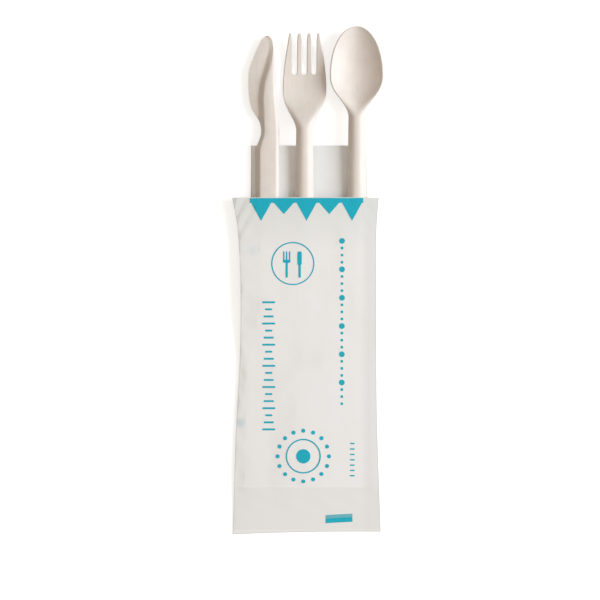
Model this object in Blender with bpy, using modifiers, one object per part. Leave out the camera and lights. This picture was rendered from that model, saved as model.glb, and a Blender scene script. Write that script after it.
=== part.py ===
"""Cutlery set: a knife, a fork and a spoon moulded in cream bioplastic, laid on a folded
paper napkin, their handles and most of the napkin inside a long film pouch with an open mouth.

Units are metres. The set lies on its back, as it would come to rest: +Y runs from the pouch's
foot to the heads of the cutlery and +Z points up. The origin is the middle of the pouch's
back, on the surface that the set lies on."""

import math

import bmesh
import bpy
import numpy as np

# Running room between pieces that rest on each other
REST_GAP = 0.0003

# Moulded walls
HANDLE_WALL = 0.0016
HEAD_WALL = 0.0014

# Handles of the fork and the spoon: an arched section, open underneath
HANDLE_RISE = 0.0042
HANDLE_NECK_WIDTH = 0.0109
HANDLE_END_WIDTH = 0.0136
HANDLE_END_ROUND = 0.0062
HANDLE_ARCH = 2.4
HEAD_ARCH = 8.0
HEAD_INSET = 0.0004
NECK_FOOT_HEIGHT = 0.0069

# Spoon
SPOON_LENGTH = 0.165
BOWL_WIDTH = 0.0325
BOWL_LENGTH = 0.056
BOWL_WIDEST_AT = 0.0305
BOWL_DEPTH = 0.0060
BOWL_TIP_LIFT = 0.0010
BOWL_NOSE = 2.1
BOWL_DEEPEST_AT = 0.0269
BOWL_TO_HANDLE_FROM = 0.0370

# Fork
FORK_LENGTH = 0.164
FORK_HEAD_WIDTH = 0.0268
FORK_TIP_WIDTH = 0.0182
FORK_HEAD_LENGTH = 0.061
FORK_BELLY_AT = 0.0325
FORK_TO_HANDLE_FROM = 0.0378
FORK_DISH = 0.0009
TINE_LENGTH = 0.0253
TINE_WIDTH = 0.0030
TINE_GAP = 0.0030
TINE_TIP_TAPER = 0.0060
TINE_TIP_SHARE = 0.5
TINE_LIFT = 0.0048

# Knife
KNIFE_LENGTH = 0.167
KNIFE_WIDTH = 0.0150
KNIFE_RISE = 0.0044
KNIFE_TIP_RISE = 0.0020
KNIFE_NECK_LENGTH = 0.0130
KNIFE_CREST_SHARE = 0.60
BLADE_LENGTH = 0.0600
BLADE_REACH = 0.0122
BLADE_WALL = 0.0011
BLADE_EDGE_WALL = 0.0006
RIB_SLOPE = 0.0044
RIB_RISE_LENGTH = 0.0360
RIB_SLOPE_AT_TIP = 0.45
SHOULDER_BEVEL = 0.0026
TOOTH_PITCH = 0.0014
TOOTH_DEPTH = 0.0005
TEETH_FROM = 0.0090
TEETH_TO = 0.0490
LEAST_KNIFE_FACE = 0.03

# Napkin: one sheet folded once along its length, then twice across
LEAF = 0.0002
LEAF_GAP = 0.00012
NAPKIN_WIDTH = 0.0730
NAPKIN_LENGTH = 0.2125
NAPKIN_FAN = 0.0100

# Pouch: a flat tube of film, welded across its foot and cut open at its mouth
FILM = 0.0001
SIDE_EASE = 0.0088
MOUTH_FLARE = 0.0027
MOUTH_FLARE_LENGTH = 0.0180
FOOT_SPREAD = 0.0036
FOOT_ROOM = 0.0302
SEAL_WIDTH = 0.0030
FILM_FALL = 0.0300

# Where the pieces lie beside each other and how far they stand out of the mouth
SPOON_OUT = 0.1063
FORK_BEHIND_SPOON = 0.0040
KNIFE_BEHIND_SPOON = 0.0052
FORK_TO_SPOON = 0.0028
KNIFE_TO_FORK = 0.0022
NAPKIN_TO_BOWL = 0.0176
NAPKIN_OFFSET = 0.0012
HANDLES_OFFSET = 0.0031

# Faces: points round a section, segments in a fold of paper, and the film's columns as
# shares of half a handle, of the space between two handles and of the space beside them
UPPER_POINTS = 15
LOWER_POINTS = 13
FOLD_SEGMENTS = 6
OVER_HANDLE = (-1.0, -0.8, -0.5, -0.2, 0.1, 0.4, 0.65, 0.85, 1.0)
BETWEEN_HANDLES = (0.3, 0.7)
BESIDE_HANDLES = (0.0, 0.06, 0.18, 0.36, 0.56, 0.78)
BACK_POINTS = 6

CREAM = (0.76, 0.69, 0.62, 1.0)
PAPER_WHITE = (0.88, 0.88, 0.87, 1.0)
FILM_WHITE = (0.74, 0.73, 0.70, 0.8)

CUTTERS = "cutters"


# Small helpers

def smooth(share):
    """0 below 0, 1 above 1, and an even S-curve between."""
    share = np.clip(share, 0.0, 1.0)
    return share * share * (3.0 - 2.0 * share)


def mix(first, second, share):
    return first + (second - first) * share


def through(keys, at):
    """A smooth curve through (place, value) keys, read at the places given (Catmull-Rom)."""
    places, values = np.array(keys, float).T
    slopes = np.gradient(values, places)
    at = np.clip(at, places[0], places[-1])
    left = np.clip(np.searchsorted(places, at, side="right") - 1, 0, len(places) - 2)
    span = places[left + 1] - places[left]
    t = (at - places[left]) / span
    return (
        values[left] * (1 + 2 * t) * (1 - t) ** 2
        + values[left + 1] * t * t * (3 - 2 * t)
        + span * slopes[left] * t * (1 - t) ** 2
        - span * slopes[left + 1] * t * t * (1 - t)
    )


def material(name, colour, roughness):
    made = bpy.data.materials.new(name)
    made.use_nodes = True
    shader = made.node_tree.nodes["Principled BSDF"]
    shader.inputs["Base Color"].default_value = colour
    shader.inputs["Alpha"].default_value = colour[3]
    shader.inputs["Roughness"].default_value = roughness
    shader.inputs["Metallic"].default_value = 0.0
    return made


def mesh_object(name, points, faces, collection):
    mesh = bpy.data.meshes.new(name)
    mesh.from_pydata([tuple(p) for p in points], [], faces)
    shape = bmesh.new()
    shape.from_mesh(mesh)
    bmesh.ops.recalc_face_normals(shape, faces=shape.faces)
    shape.to_mesh(mesh)
    shape.free()
    made = bpy.data.objects.new(name, mesh)
    collection.objects.link(made)
    return made


def loft(name, loops, collection):
    """A closed skin over rings of points, one ring for each station, with both ends capped."""
    stations, around, _ = loops.shape
    index = np.arange(stations * around).reshape(stations, around)
    start, beside = index[:-1], np.roll(index, -1, axis=1)[:-1]
    ahead, across = index[1:], np.roll(index, -1, axis=1)[1:]
    sides = np.stack([start, beside, across, ahead], axis=-1).reshape(-1, 4)
    caps = [tuple(index[0][::-1]), tuple(index[-1])]
    faces = [tuple(side) for side in sides.tolist()] + caps
    made = mesh_object(name, loops.reshape(-1, 3), faces, collection)
    made.data.shade_smooth()
    made.data.set_sharp_from_angle(angle=math.radians(40))
    return made


def prism(name, outline, low, high):
    """A cutter: a flat outline in x and y, made a solid between two heights."""
    count = len(outline)
    points = [(x, y, low) for x, y in outline] + [(x, y, high) for x, y in outline]
    walls = [(i, (i + 1) % count, count + (i + 1) % count, count + i) for i in range(count)]
    faces = [tuple(range(count)), tuple(range(count, 2 * count))] + walls
    made = mesh_object(name, points, faces, bpy.data.collections[CUTTERS])
    made.hide_render = True
    made.display_type = "WIRE"
    return made


def cut(piece, cutter):
    boolean = piece.modifiers.new("cut_" + cutter.name, "BOOLEAN")
    boolean.operation = "DIFFERENCE"
    boolean.object = cutter
    cutter.parent = piece


# Where everything lies, worked out from the sizes above

napkin_pitch = LEAF + LEAF_GAP
napkin_stack = 8 * LEAF + 7 * LEAF_GAP
napkin_bottom = FILM + REST_GAP
napkin_top = napkin_bottom + napkin_stack
handle_rest = napkin_top + REST_GAP

napkin_out = SPOON_OUT - BOWL_LENGTH - NAPKIN_TO_BOWL
pouch_length = NAPKIN_LENGTH - napkin_out + FOOT_ROOM
mouth_y = pouch_length / 2
foot_y = -pouch_length / 2
spoon_tip_y = mouth_y + SPOON_OUT
fork_tip_y = spoon_tip_y - FORK_BEHIND_SPOON
knife_tip_y = spoon_tip_y - KNIFE_BEHIND_SPOON
napkin_top_y = mouth_y + napkin_out
napkin_foot_y = napkin_top_y - NAPKIN_LENGTH

# Across, measured from the fork first, then moved so that the contents are centred
fork_to_spoon_axes = FORK_HEAD_WIDTH / 2 + FORK_TO_SPOON + BOWL_WIDTH / 2
fork_to_knife_axes = FORK_HEAD_WIDTH / 2 + KNIFE_TO_FORK + KNIFE_WIDTH / 2
handles_left = -fork_to_knife_axes - KNIFE_WIDTH / 2
handles_right = fork_to_spoon_axes + HANDLE_END_WIDTH / 2
handles_middle = (handles_left + handles_right) / 2
handles_half = (handles_right - handles_left) / 2
contents_half = max(handles_half, NAPKIN_WIDTH / 2 + abs(NAPKIN_OFFSET))
fork_x = HANDLES_OFFSET - handles_middle
spoon_x = fork_x + fork_to_spoon_axes
knife_x = fork_x - fork_to_knife_axes


# Fork and spoon: an arched, dished section that changes along the length

def handle_half_width(along, neck_at, length):
    """Half the handle's width: wider towards its end, which is rounded off."""
    straight = mix(HANDLE_NECK_WIDTH, HANDLE_END_WIDTH, (along - neck_at) / (length - neck_at)) / 2
    into_round = np.clip((along - (length - HANDLE_END_ROUND)) / HANDLE_END_ROUND, 0.0, 1.0)
    return straight * np.sqrt(1.0 - into_round**2)


def spoon_half_width(along):
    """An ellipse from the tip to the widest place, then an S-curve in to the neck."""
    ahead = np.clip((BOWL_WIDEST_AT - along) / BOWL_WIDEST_AT, 0.0, 1.0)
    front = BOWL_WIDTH / 2 * np.sqrt(1.0 - ahead**BOWL_NOSE)
    closing = np.clip((along - BOWL_WIDEST_AT) / (BOWL_LENGTH - BOWL_WIDEST_AT), 0.0, 1.0)
    closing = 0.5 - 0.5 * np.cos(math.pi * closing**1.1)
    neck = handle_half_width(np.maximum(along, BOWL_LENGTH), BOWL_LENGTH, SPOON_LENGTH)
    return mix(front, neck, closing)


def fork_half_width(along):
    """Tines that spread a little towards a shouldered head, then an S-curve in to the neck."""
    behind = np.clip((FORK_BELLY_AT - along) / FORK_BELLY_AT, 0.0, 1.0)
    front = (FORK_HEAD_WIDTH - (FORK_HEAD_WIDTH - FORK_TIP_WIDTH) * behind**1.6) / 2
    closing = np.clip((along - FORK_BELLY_AT) / (FORK_HEAD_LENGTH - FORK_BELLY_AT), 0.0, 1.0)
    closing = 0.5 - 0.5 * np.cos(math.pi * closing**1.4)
    neck = handle_half_width(np.maximum(along, FORK_HEAD_LENGTH), FORK_HEAD_LENGTH, FORK_LENGTH)
    return mix(front, neck, closing)


def handle_foot(along, neck_at, length):
    """Height of the handle's feet: high at the neck, down on the napkin at the end."""
    return mix(NECK_FOOT_HEIGHT, handle_rest, np.clip((along - neck_at) / (length - neck_at), 0, 1))


def spoon_form(along):
    """Half width, height of the edge, share of handle and depth of the dish of the spoon."""
    to_handle = smooth((along - BOWL_TO_HANDLE_FROM) / (BOWL_LENGTH - BOWL_TO_HANDLE_FROM))
    from_deepest = np.where(
        along < BOWL_DEEPEST_AT,
        1.0 - along / BOWL_DEEPEST_AT,
        (along - BOWL_DEEPEST_AT) / (BOWL_LENGTH - BOWL_DEEPEST_AT),
    )
    hollow = np.clip(1.0 - from_deepest**2, 0.0, 1.0) ** 0.8
    bowl_edge = BOWL_DEPTH + HEAD_WALL
    bowl_edge = bowl_edge + BOWL_TIP_LIFT * np.clip(1.0 - along / BOWL_DEEPEST_AT, 0.0, 1.0) ** 2
    edge = mix(bowl_edge, handle_foot(along, BOWL_LENGTH, SPOON_LENGTH), to_handle)
    return spoon_half_width(along), edge, to_handle, BOWL_DEPTH * hollow


def fork_form(along):
    """The same for the fork: tines lifted at their tips, a shallow dish and a low belly."""
    to_handle = smooth((along - FORK_TO_HANDLE_FROM) / (FORK_HEAD_LENGTH - FORK_TO_HANDLE_FROM))
    belly = HEAD_WALL + FORK_DISH
    lift = TINE_LIFT * np.clip(1.0 - along / FORK_BELLY_AT, 0.0, 1.0) ** 2
    climb = smooth((along - FORK_BELLY_AT) / (FORK_HEAD_LENGTH - FORK_BELLY_AT))
    neck = handle_foot(along, FORK_HEAD_LENGTH, FORK_LENGTH)
    edge = mix(belly + lift, neck, climb)
    return fork_half_width(along), edge, to_handle, FORK_DISH * (1.0 - to_handle)


def arched_loop(form, along):
    """One ring of the section. Above: an arch less a dish. Below: the same, a wall lower.
    On the handle the lower line is a smaller arch between two flat feet."""
    half, edge, to_handle, dish = form(along)
    full_half = max(half, 1e-6)
    rise = HANDLE_RISE * to_handle * min(1.0, full_half / (HANDLE_NECK_WIDTH / 2)) ** 0.5
    power = mix(HEAD_ARCH, HANDLE_ARCH, to_handle)
    inset = min(mix(HEAD_INSET, HANDLE_WALL, to_handle), 0.45 * full_half)
    drop = HEAD_WALL * (1.0 - to_handle)
    wall = min(mix(HEAD_WALL, HANDLE_WALL, to_handle), drop + 0.8 * rise + 1e-5)
    above = np.sin(math.pi / 2 * np.linspace(-1.0, 1.0, UPPER_POINTS))
    below = np.sin(math.pi / 2 * np.linspace(1.0, -1.0, LOWER_POINTS))
    top = edge + rise * (1 - abs(above) ** power) - dish * (1 - above**2)
    under = edge - drop + (rise - wall + drop) * (1 - abs(below) ** power) - dish * (1 - below**2)
    x = np.concatenate([above * full_half, below * (full_half - inset)])
    z = np.concatenate([top, under])
    return np.stack([x, np.full_like(x, -along), z], axis=-1)


def stations(length, head_length, tip_shares, head_count):
    """Places along a piece: close together at its tip, over its head and at its rounded end."""
    tip = head_length * np.array(tip_shares)
    head = np.linspace(tip[-1], 1.04 * head_length, head_count)[1:]
    handle = np.linspace(1.04 * head_length, length - HANDLE_END_ROUND, 6)[1:]
    end = np.sin(np.linspace(0, math.pi / 2, 6))[1:] * HANDLE_END_ROUND * 0.999
    return np.concatenate([tip, head, handle, length - HANDLE_END_ROUND + end])


def make_spoon(collection):
    places = stations(SPOON_LENGTH, BOWL_LENGTH, (0.002, 0.008, 0.022, 0.045, 0.08), 26)
    return loft("spoon", np.array([arched_loop(spoon_form, a) for a in places]), collection)


def slot_outline(middle):
    """One gap between two tines: rounded at its root, flared at the tips so the tines taper."""
    half = TINE_GAP / 2
    root_y = half - TINE_LENGTH
    flare = TINE_WIDTH / 2 * TINE_TIP_SHARE
    left = []
    for share in np.linspace(0.0, 1.0, 7):
        left.append((-half - flare * share**2.2, -TINE_TIP_TAPER * (1.0 - share)))
    left.append((-half - flare, TINE_GAP))
    root = []
    for angle in np.linspace(0.0, -math.pi, 7):
        root.append((half * math.cos(angle), root_y + half * math.sin(angle)))
    right = [(-x, y) for x, y in left]
    outline = right[::-1] + root + left
    return [(middle + x, y) for x, y in outline]


def make_fork(collection):
    places = stations(FORK_LENGTH, FORK_HEAD_LENGTH, (0.0, 0.05), 26)
    fork = loft("fork", np.array([arched_loop(fork_form, a) for a in places]), collection)
    pitch = TINE_WIDTH + TINE_GAP
    high = 2 * (TINE_LIFT + HEAD_WALL + HANDLE_RISE)
    for number, middle in enumerate((-pitch, 0.0, pitch)):
        cut(fork, prism(f"slot_{number + 1}", slot_outline(middle), -HEAD_WALL, high))
    return fork


# Knife: a flat blade on the left of a rib that grows into the arched handle

# Along the blade as a share of its length: how far the cutting edge reaches, as a share of
# the blade's reach, and the back and the rib's crest, as shares of half the handle
EDGE_KEYS = (
    (0.00, 0.08), (0.02, 0.21), (0.10, 0.45), (0.23, 0.74), (0.35, 0.95), (0.50, 1.00),
    (0.64, 0.95), (0.77, 0.80), (0.84, 0.57), (0.88, 0.44), (0.93, 0.36), (0.98, 0.32), (1.00, 0.325),
)
BACK_KEYS = (
    (0.00, 0.02), (0.02, 0.26), (0.07, 0.45), (0.13, 0.54), (0.26, 0.63), (0.52, 0.73),
    (0.67, 0.80), (0.78, 0.89), (0.88, 0.95), (1.00, 0.99),
)
RIB_KEYS = (
    (0.00, 0.02), (0.02, -0.15), (0.07, -0.36), (0.13, -0.43), (0.26, -0.32), (0.52, 0.18),
    (0.67, 0.285), (0.78, 0.25), (1.00, 0.235),
)


def knife_sides(along):
    """Left edge, foot and crest of the rib, and back of the knife, measured from its axis."""
    half = KNIFE_WIDTH / 2
    share = along / BLADE_LENGTH
    past = smooth((along - BLADE_LENGTH) / KNIFE_NECK_LENGTH)
    into_round = np.clip((along - (KNIFE_LENGTH - HANDLE_END_ROUND)) / HANDLE_END_ROUND, 0, 1)
    rounding = math.sqrt(1.0 - into_round**2)
    left = mix(-BLADE_REACH * through(EDGE_KEYS, share), -half, past) * rounding
    right = mix(half * through(BACK_KEYS, share), half, past) * rounding
    crest = mix(-half * through(RIB_KEYS, share), -half * KNIFE_CREST_SHARE, past) * rounding
    least = LEAST_KNIFE_FACE * (right - left)
    crest = min(max(crest, left + 2 * least), right - 2 * least)
    foot = max(crest - RIB_SLOPE * min(1.0, RIB_SLOPE_AT_TIP + 2 * share), left)
    return left, min(foot, crest - least), crest, right


def knife_loop(along):
    """One ring of the knife's section: blade, slope of the rib, crown, bevelled back."""
    left, foot, crest, right = knife_sides(along)
    width = max(right - left, 1e-6)
    bevel = min(SHOULDER_BEVEL, 0.45 * (right - crest))
    rise = mix(KNIFE_TIP_RISE, KNIFE_RISE, smooth(along / RIB_RISE_LENGTH))
    rise *= min(1.0, (width / KNIFE_WIDTH) ** 0.5)
    plate = min(BLADE_WALL, 0.7 * rise)
    blade_x = np.linspace(left, foot, 3)[:-1]
    blade_z = np.array([BLADE_EDGE_WALL, plate]) if foot > left else np.array([0.0, 0.0])
    blade_share = smooth((foot - left) / (0.2 * BLADE_REACH))
    slope = np.linspace(0.0, 1.0, 6)
    slope_x = mix(foot, crest, slope)
    slope_z = mix(plate * blade_share, rise, np.sin(math.pi / 2 * slope) ** 1.2)
    turn = np.linspace(0.0, math.pi / 2, 6)
    crown_x = right - bevel + bevel * np.sin(turn)
    crown_z = rise * (0.25 + 0.75 * np.cos(turn))
    x = np.concatenate([blade_x, slope_x, crown_x, [right]])
    z = np.concatenate([blade_z * blade_share, slope_z, crown_z, [0.0]])
    wall = min(HANDLE_WALL, 0.3 * width)
    ceiling = max(rise - wall, 0.1 * rise)
    inner_right, inner_left = right - wall, max(crest, left + wall)
    inner_left = min(inner_left, inner_right - 0.01 * KNIFE_WIDTH)
    inner_foot = min(max(foot, left) + wall, inner_left)
    hollow = 0.5 * (inner_left + inner_right)
    under_x = [inner_right, inner_right - 0.3 * bevel, inner_right - bevel * 0.6]
    under_x = [max(value, hollow) for value in under_x] + [inner_left, inner_foot]
    under_z = [0.0, 0.6 * ceiling, ceiling, ceiling, 0.0]
    x = np.concatenate([x, under_x])
    z = np.concatenate([z, under_z])
    return np.stack([x, np.full_like(x, -along), z + handle_rest], axis=-1)


def teeth_outline():
    """A comb along the cutting edge: its points bite into the blade by one tooth's depth."""
    count = int((TEETH_TO - TEETH_FROM) / TOOTH_PITCH)
    bite, outside = [], []
    for step in range(2 * count + 1):
        along = TEETH_FROM + step * TOOTH_PITCH / 2
        edge = knife_sides(along)[0]
        inward = TOOTH_DEPTH if step % 2 else -0.2 * TOOTH_DEPTH
        bite.append((edge + inward, -along))
    for along in (TEETH_TO, TEETH_FROM):
        outside.append((-2 * BLADE_REACH, -along))
    return bite + outside


def make_knife(collection):
    tip_shares = (0.0, 0.006, 0.02, 0.045, 0.08)
    head = BLADE_LENGTH + KNIFE_NECK_LENGTH
    places = stations(KNIFE_LENGTH, head, np.array(tip_shares) * BLADE_LENGTH / head, 32)
    knife = loft("knife", np.array([knife_loop(a) for a in places]), collection)
    low, high = handle_rest - BLADE_WALL, handle_rest + KNIFE_RISE
    cut(knife, prism("teeth", teeth_outline(), low, high))
    return knife


# Napkin: a hairpin of two leaves, folded along its length, swept round the two cross folds

def arc(centre, radius, start, end):
    angles = np.linspace(start, end, FOLD_SEGMENTS + 1)
    return [(centre[0] + radius * math.cos(a), centre[1] + radius * math.sin(a)) for a in angles]


def hairpin():
    """The doubled leaf's middle line seen from the side, as (place along y, height)."""
    free, fold = napkin_foot_y, napkin_top_y - (napkin_pitch + LEAF) / 2
    lengthwise = np.linspace(free, fold, 3)
    low = [(y, -napkin_pitch / 2) for y in lengthwise[:-1]]
    high = [(y, napkin_pitch / 2) for y in lengthwise[:-1]]
    return np.array(low + arc((fold, 0.0), napkin_pitch / 2, -math.pi / 2, math.pi / 2) + high[::-1])


def folded_path():
    """Centre line of the doubled leaf across the napkin: (x, height, normal x, normal height)."""
    half = NAPKIN_WIDTH / 2
    reach = napkin_pitch / 2 + LEAF / 2
    level = [reach + 2 * napkin_pitch * n for n in range(4)]
    left, right = -half + 3 * napkin_pitch + reach, half - napkin_pitch - reach
    fold_height = (level[0] + level[3]) / 2
    path = [(half, level[0], 0.0, -1.0)]
    for radius, start, end, centre in (
        (3 * napkin_pitch, -math.pi / 2, -3 * math.pi / 2, (left, fold_height)),
        (napkin_pitch, math.pi / 2, -math.pi / 2, (right, (level[2] + level[3]) / 2)),
        (napkin_pitch, -3 * math.pi / 2, -math.pi / 2, (left, fold_height)),
    ):
        inwards = -1.0 if centre[0] == left and radius == napkin_pitch else 1.0
        for x, z in arc(centre, radius, start, end):
            out_x, out_z = (x - centre[0]) / radius, (z - centre[1]) / radius
            path.append((x, z, inwards * out_x, inwards * out_z))
    path.append((half, level[1], 0.0, 1.0))
    return path


def make_napkin(collection):
    """The folded sheet without its thickness, which Solidify then gives it."""
    side = hairpin()
    rows = []
    for x, z, normal_x, normal_z in folded_path():
        loop_x = x + normal_x * side[:, 1]
        loop_z = z + normal_z * side[:, 1]
        spread = NAPKIN_FAN * (napkin_top_y - side[:, 0]) / NAPKIN_LENGTH
        loop_x = loop_x + spread * (loop_z / napkin_stack - 0.5)
        rows.append(np.stack([loop_x, side[:, 0], loop_z + napkin_bottom], axis=-1))
    rows = np.array(rows)
    index = np.arange(rows.shape[0] * rows.shape[1]).reshape(rows.shape[:2])
    corners = np.stack([index[:-1, :-1], index[1:, :-1], index[1:, 1:], index[:-1, 1:]], axis=-1)
    napkin = mesh_object("napkin", rows.reshape(-1, 3), corners.reshape(-1, 4).tolist(), collection)
    napkin.data.shade_smooth()
    leaf = napkin.modifiers.new("leaf", "SOLIDIFY")
    leaf.thickness = LEAF
    leaf.offset = 0.0
    leaf.use_even_offset = True
    return napkin


# Pouch: at each station the film is pulled tight over whatever lies under it

def pouch_half_width(y):
    """Half the pouch's width: flared at the mouth, narrowest below it, spread at the foot."""
    flare = MOUTH_FLARE * smooth(1.0 - (mouth_y - y) / MOUTH_FLARE_LENGTH)
    spread = FOOT_SPREAD * np.clip((mouth_y - y) / pouch_length, 0.0, 1.0) ** 1.8
    return contents_half + SIDE_EASE - MOUTH_FLARE + flare + spread - FOOT_SPREAD / 4


def upper_hull(points):
    """The points that a taut string laid over all of them would touch."""
    hull = []
    for point in sorted(points):
        while len(hull) > 1:
            (x0, z0), (x1, z1) = hull[-2], hull[-1]
            if (x1 - x0) * (point[1] - z0) < (z1 - z0) * (point[0] - x0):
                break
            hull.pop()
        hull.append(point)
    return hull


def handle_tops(y):
    """Top points of the three handles under the film, let down past the handles' ends."""
    found = []
    for loop_at, piece_x, tip_y, length in (
        (knife_loop, knife_x, knife_tip_y, KNIFE_LENGTH),
        (lambda a: arched_loop(fork_form, a), fork_x, fork_tip_y, FORK_LENGTH),
        (lambda a: arched_loop(spoon_form, a), spoon_x, spoon_tip_y, SPOON_LENGTH),
    ):
        last = length - HANDLE_END_ROUND
        loop = loop_at(min(tip_y - y, last))
        left_over = smooth(1.0 - (tip_y - length - y) / FILM_FALL)
        for x, _, z in loop[:UPPER_POINTS]:
            found.append((piece_x + x, napkin_top + (z - napkin_top) * left_over))
    return found


def film_columns(half):
    """Places across the film: they run straight along the handles, and spread to the sides."""
    over = [knife_x + KNIFE_WIDTH / 2 * np.array(OVER_HANDLE)]
    for piece_x in (fork_x, spoon_x):
        over.append(piece_x + HANDLE_END_WIDTH / 2 * np.array(OVER_HANDLE))
    left = mix(-half, over[0][0], np.array(BESIDE_HANDLES))
    right = mix(half, over[2][-1], np.array(BESIDE_HANDLES[::-1]))
    between = [mix(a[-1], b[0], np.array(BETWEEN_HANDLES)) for a, b in zip(over, over[1:])]
    return np.concatenate([left, over[0], between[0], over[1], between[1], over[2], right])


def film_height(y, across):
    """Height of the front film's inner face at the places across."""
    half = pouch_half_width(y)
    fan = NAPKIN_FAN * (napkin_top_y - y) / NAPKIN_LENGTH / 2
    napkin_half = min(NAPKIN_WIDTH / 2 + fan, half - 4 * FILM)
    left_over = smooth(1.0 - (napkin_foot_y - y) / (FILM_FALL * 0.5))
    points = [(-half, FILM * 2), (half, FILM * 2)]
    for side in (-1, 1):
        points.append((NAPKIN_OFFSET + side * napkin_half, mix(FILM * 2, napkin_top, left_over)))
    points += [p for p in handle_tops(y) if abs(p[0]) < half and p[1] > napkin_top + 1e-6]
    hull = np.array(upper_hull(points))
    return np.interp(across, hull[:, 0], hull[:, 1]) + REST_GAP * left_over


def pouch_loop(y, inside):
    """One ring of the film tube: its flat back, then its front over the contents."""
    half = pouch_half_width(y) - (FILM if inside else 0.0)
    across = film_columns(half)
    front = film_height(y, across) + (0.0 if inside else FILM)
    back_x = np.linspace(half, -half, BACK_POINTS)
    back = np.full(BACK_POINTS, FILM if inside else 0.0)
    x, z = np.concatenate([across, back_x]), np.concatenate([front, back])
    return np.stack([x, np.full_like(x, y), z], axis=-1)


def seal_loop(y):
    """Both films welded flat together."""
    half = pouch_half_width(y)
    across = film_columns(half)
    x = np.concatenate([across, np.linspace(half, -half, BACK_POINTS)])
    z = np.concatenate([np.full(len(across), 2 * FILM), np.zeros(BACK_POINTS)])
    return np.stack([x, np.full_like(x, y), z], axis=-1)


def make_pouch(collection):
    """Outer skin from foot to mouth, round the mouth's edge, and back down inside to the seal."""
    seal_y = foot_y + SEAL_WIDTH
    handle_end = min(spoon_tip_y - SPOON_LENGTH, fork_tip_y - FORK_LENGTH, knife_tip_y - KNIFE_LENGTH)
    foot_part = np.linspace(seal_y + 0.0005, napkin_foot_y + 0.001, 7)
    napkin_part = np.linspace(napkin_foot_y + 0.001, handle_end - FILM_FALL, 6)[1:]
    handle_part = np.linspace(handle_end - FILM_FALL, mouth_y - MOUTH_FLARE_LENGTH, 12)[1:]
    mouth_part = np.linspace(mouth_y - MOUTH_FLARE_LENGTH, mouth_y, 5)[1:]
    places = np.concatenate([foot_part, napkin_part, handle_part, mouth_part])
    outer = [seal_loop(foot_y), seal_loop(seal_y)] + [pouch_loop(y, False) for y in places]
    inner = [pouch_loop(y, True) for y in places[::-1]]
    return loft("pouch", np.array(outer + inner), collection)


def main():
    for leftover in list(bpy.data.objects):
        bpy.data.objects.remove(leftover)
    collection = bpy.data.collections.new("cutlery_set")
    cutters = bpy.data.collections.new(CUTTERS)
    for made in (collection, cutters):
        bpy.context.scene.collection.children.link(made)
    cutters.hide_render = True
    origin = bpy.data.objects.new("set_origin", None)
    collection.objects.link(origin)

    cream = material("cream_bioplastic", CREAM, 0.38)
    paper = material("napkin_paper", PAPER_WHITE, 0.9)
    film = material("pouch_film", FILM_WHITE, 0.5)
    for make, finish, place in (
        (make_knife, cream, (knife_x, knife_tip_y, 0.0)),
        (make_fork, cream, (fork_x, fork_tip_y, 0.0)),
        (make_spoon, cream, (spoon_x, spoon_tip_y, 0.0)),
        (make_napkin, paper, (NAPKIN_OFFSET, 0.0, 0.0)),
        (make_pouch, film, (0.0, 0.0, 0.0)),
    ):
        piece = make(collection)
        piece.data.materials.append(finish)
        piece.parent = origin
        piece.location = place


main()
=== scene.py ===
"""The looks of the takeaway cutlery set: cutlery of cream bioplastic on a folded paper napkin,
in a printed film pouch, on a white table under a soft light from the right."""

import math

import bpy
import numpy as np
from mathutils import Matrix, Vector


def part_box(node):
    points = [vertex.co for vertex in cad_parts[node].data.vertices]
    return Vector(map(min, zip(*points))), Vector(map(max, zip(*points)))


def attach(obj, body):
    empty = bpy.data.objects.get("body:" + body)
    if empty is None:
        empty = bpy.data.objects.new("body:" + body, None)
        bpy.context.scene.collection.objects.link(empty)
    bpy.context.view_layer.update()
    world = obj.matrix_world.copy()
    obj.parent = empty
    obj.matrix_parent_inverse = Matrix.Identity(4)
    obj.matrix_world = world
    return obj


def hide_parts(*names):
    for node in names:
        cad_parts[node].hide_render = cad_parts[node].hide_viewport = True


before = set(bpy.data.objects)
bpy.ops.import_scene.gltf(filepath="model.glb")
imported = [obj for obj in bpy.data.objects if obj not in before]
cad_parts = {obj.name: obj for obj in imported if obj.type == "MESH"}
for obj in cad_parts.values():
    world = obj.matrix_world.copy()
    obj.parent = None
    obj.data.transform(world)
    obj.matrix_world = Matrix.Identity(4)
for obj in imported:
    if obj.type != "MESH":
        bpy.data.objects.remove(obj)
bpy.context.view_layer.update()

bl_info = {
    "name": "Takeaway Cutlery Set",
    "version": (1, 0, 0),
    "blender": (4, 5, 0),
    "location": "3D View > Sidebar > Cutlery",
    "description": "Makes cutlery, a folded napkin, their printed film pouch and a small studio",
    "category": "Object",
}


# What the frame gives: each CAD node's box, from which places and lengths follow

def box_of(node):
    """A node's lowest and highest corner as arrays."""
    low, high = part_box(node)
    return np.array(low), np.array(high)


KNIFE_LOW, KNIFE_HIGH = box_of("knife")
FORK_LOW, FORK_HIGH = box_of("fork")
SPOON_LOW, SPOON_HIGH = box_of("spoon")
NAPKIN_LOW, NAPKIN_HIGH = box_of("napkin")
POUCH_LOW, POUCH_HIGH = box_of("pouch")
HANDLE_REST = KNIFE_LOW[2]
MOUTH_Y, FOOT_Y = POUCH_HIGH[1], POUCH_LOW[1]
POUCH_LENGTH = MOUTH_Y - FOOT_Y


# Settings

def length(name, default, description):
    """A size in metres, shown in the scene's own unit of length."""
    return bpy.props.FloatProperty(
        name=name, description=description, default=default, unit="LENGTH", precision=5
    )


def share(name, default, description):
    """A number from 0 to 1, shown as a slider."""
    return bpy.props.FloatProperty(
        name=name, description=description, default=default, min=0.0, max=1.0, subtype="FACTOR"
    )


def colour(name, default, description):
    """A colour by its linear red, green and blue."""
    return bpy.props.FloatVectorProperty(
        name=name, description=description, default=default, size=3, min=0, max=1, subtype="COLOR"
    )


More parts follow.
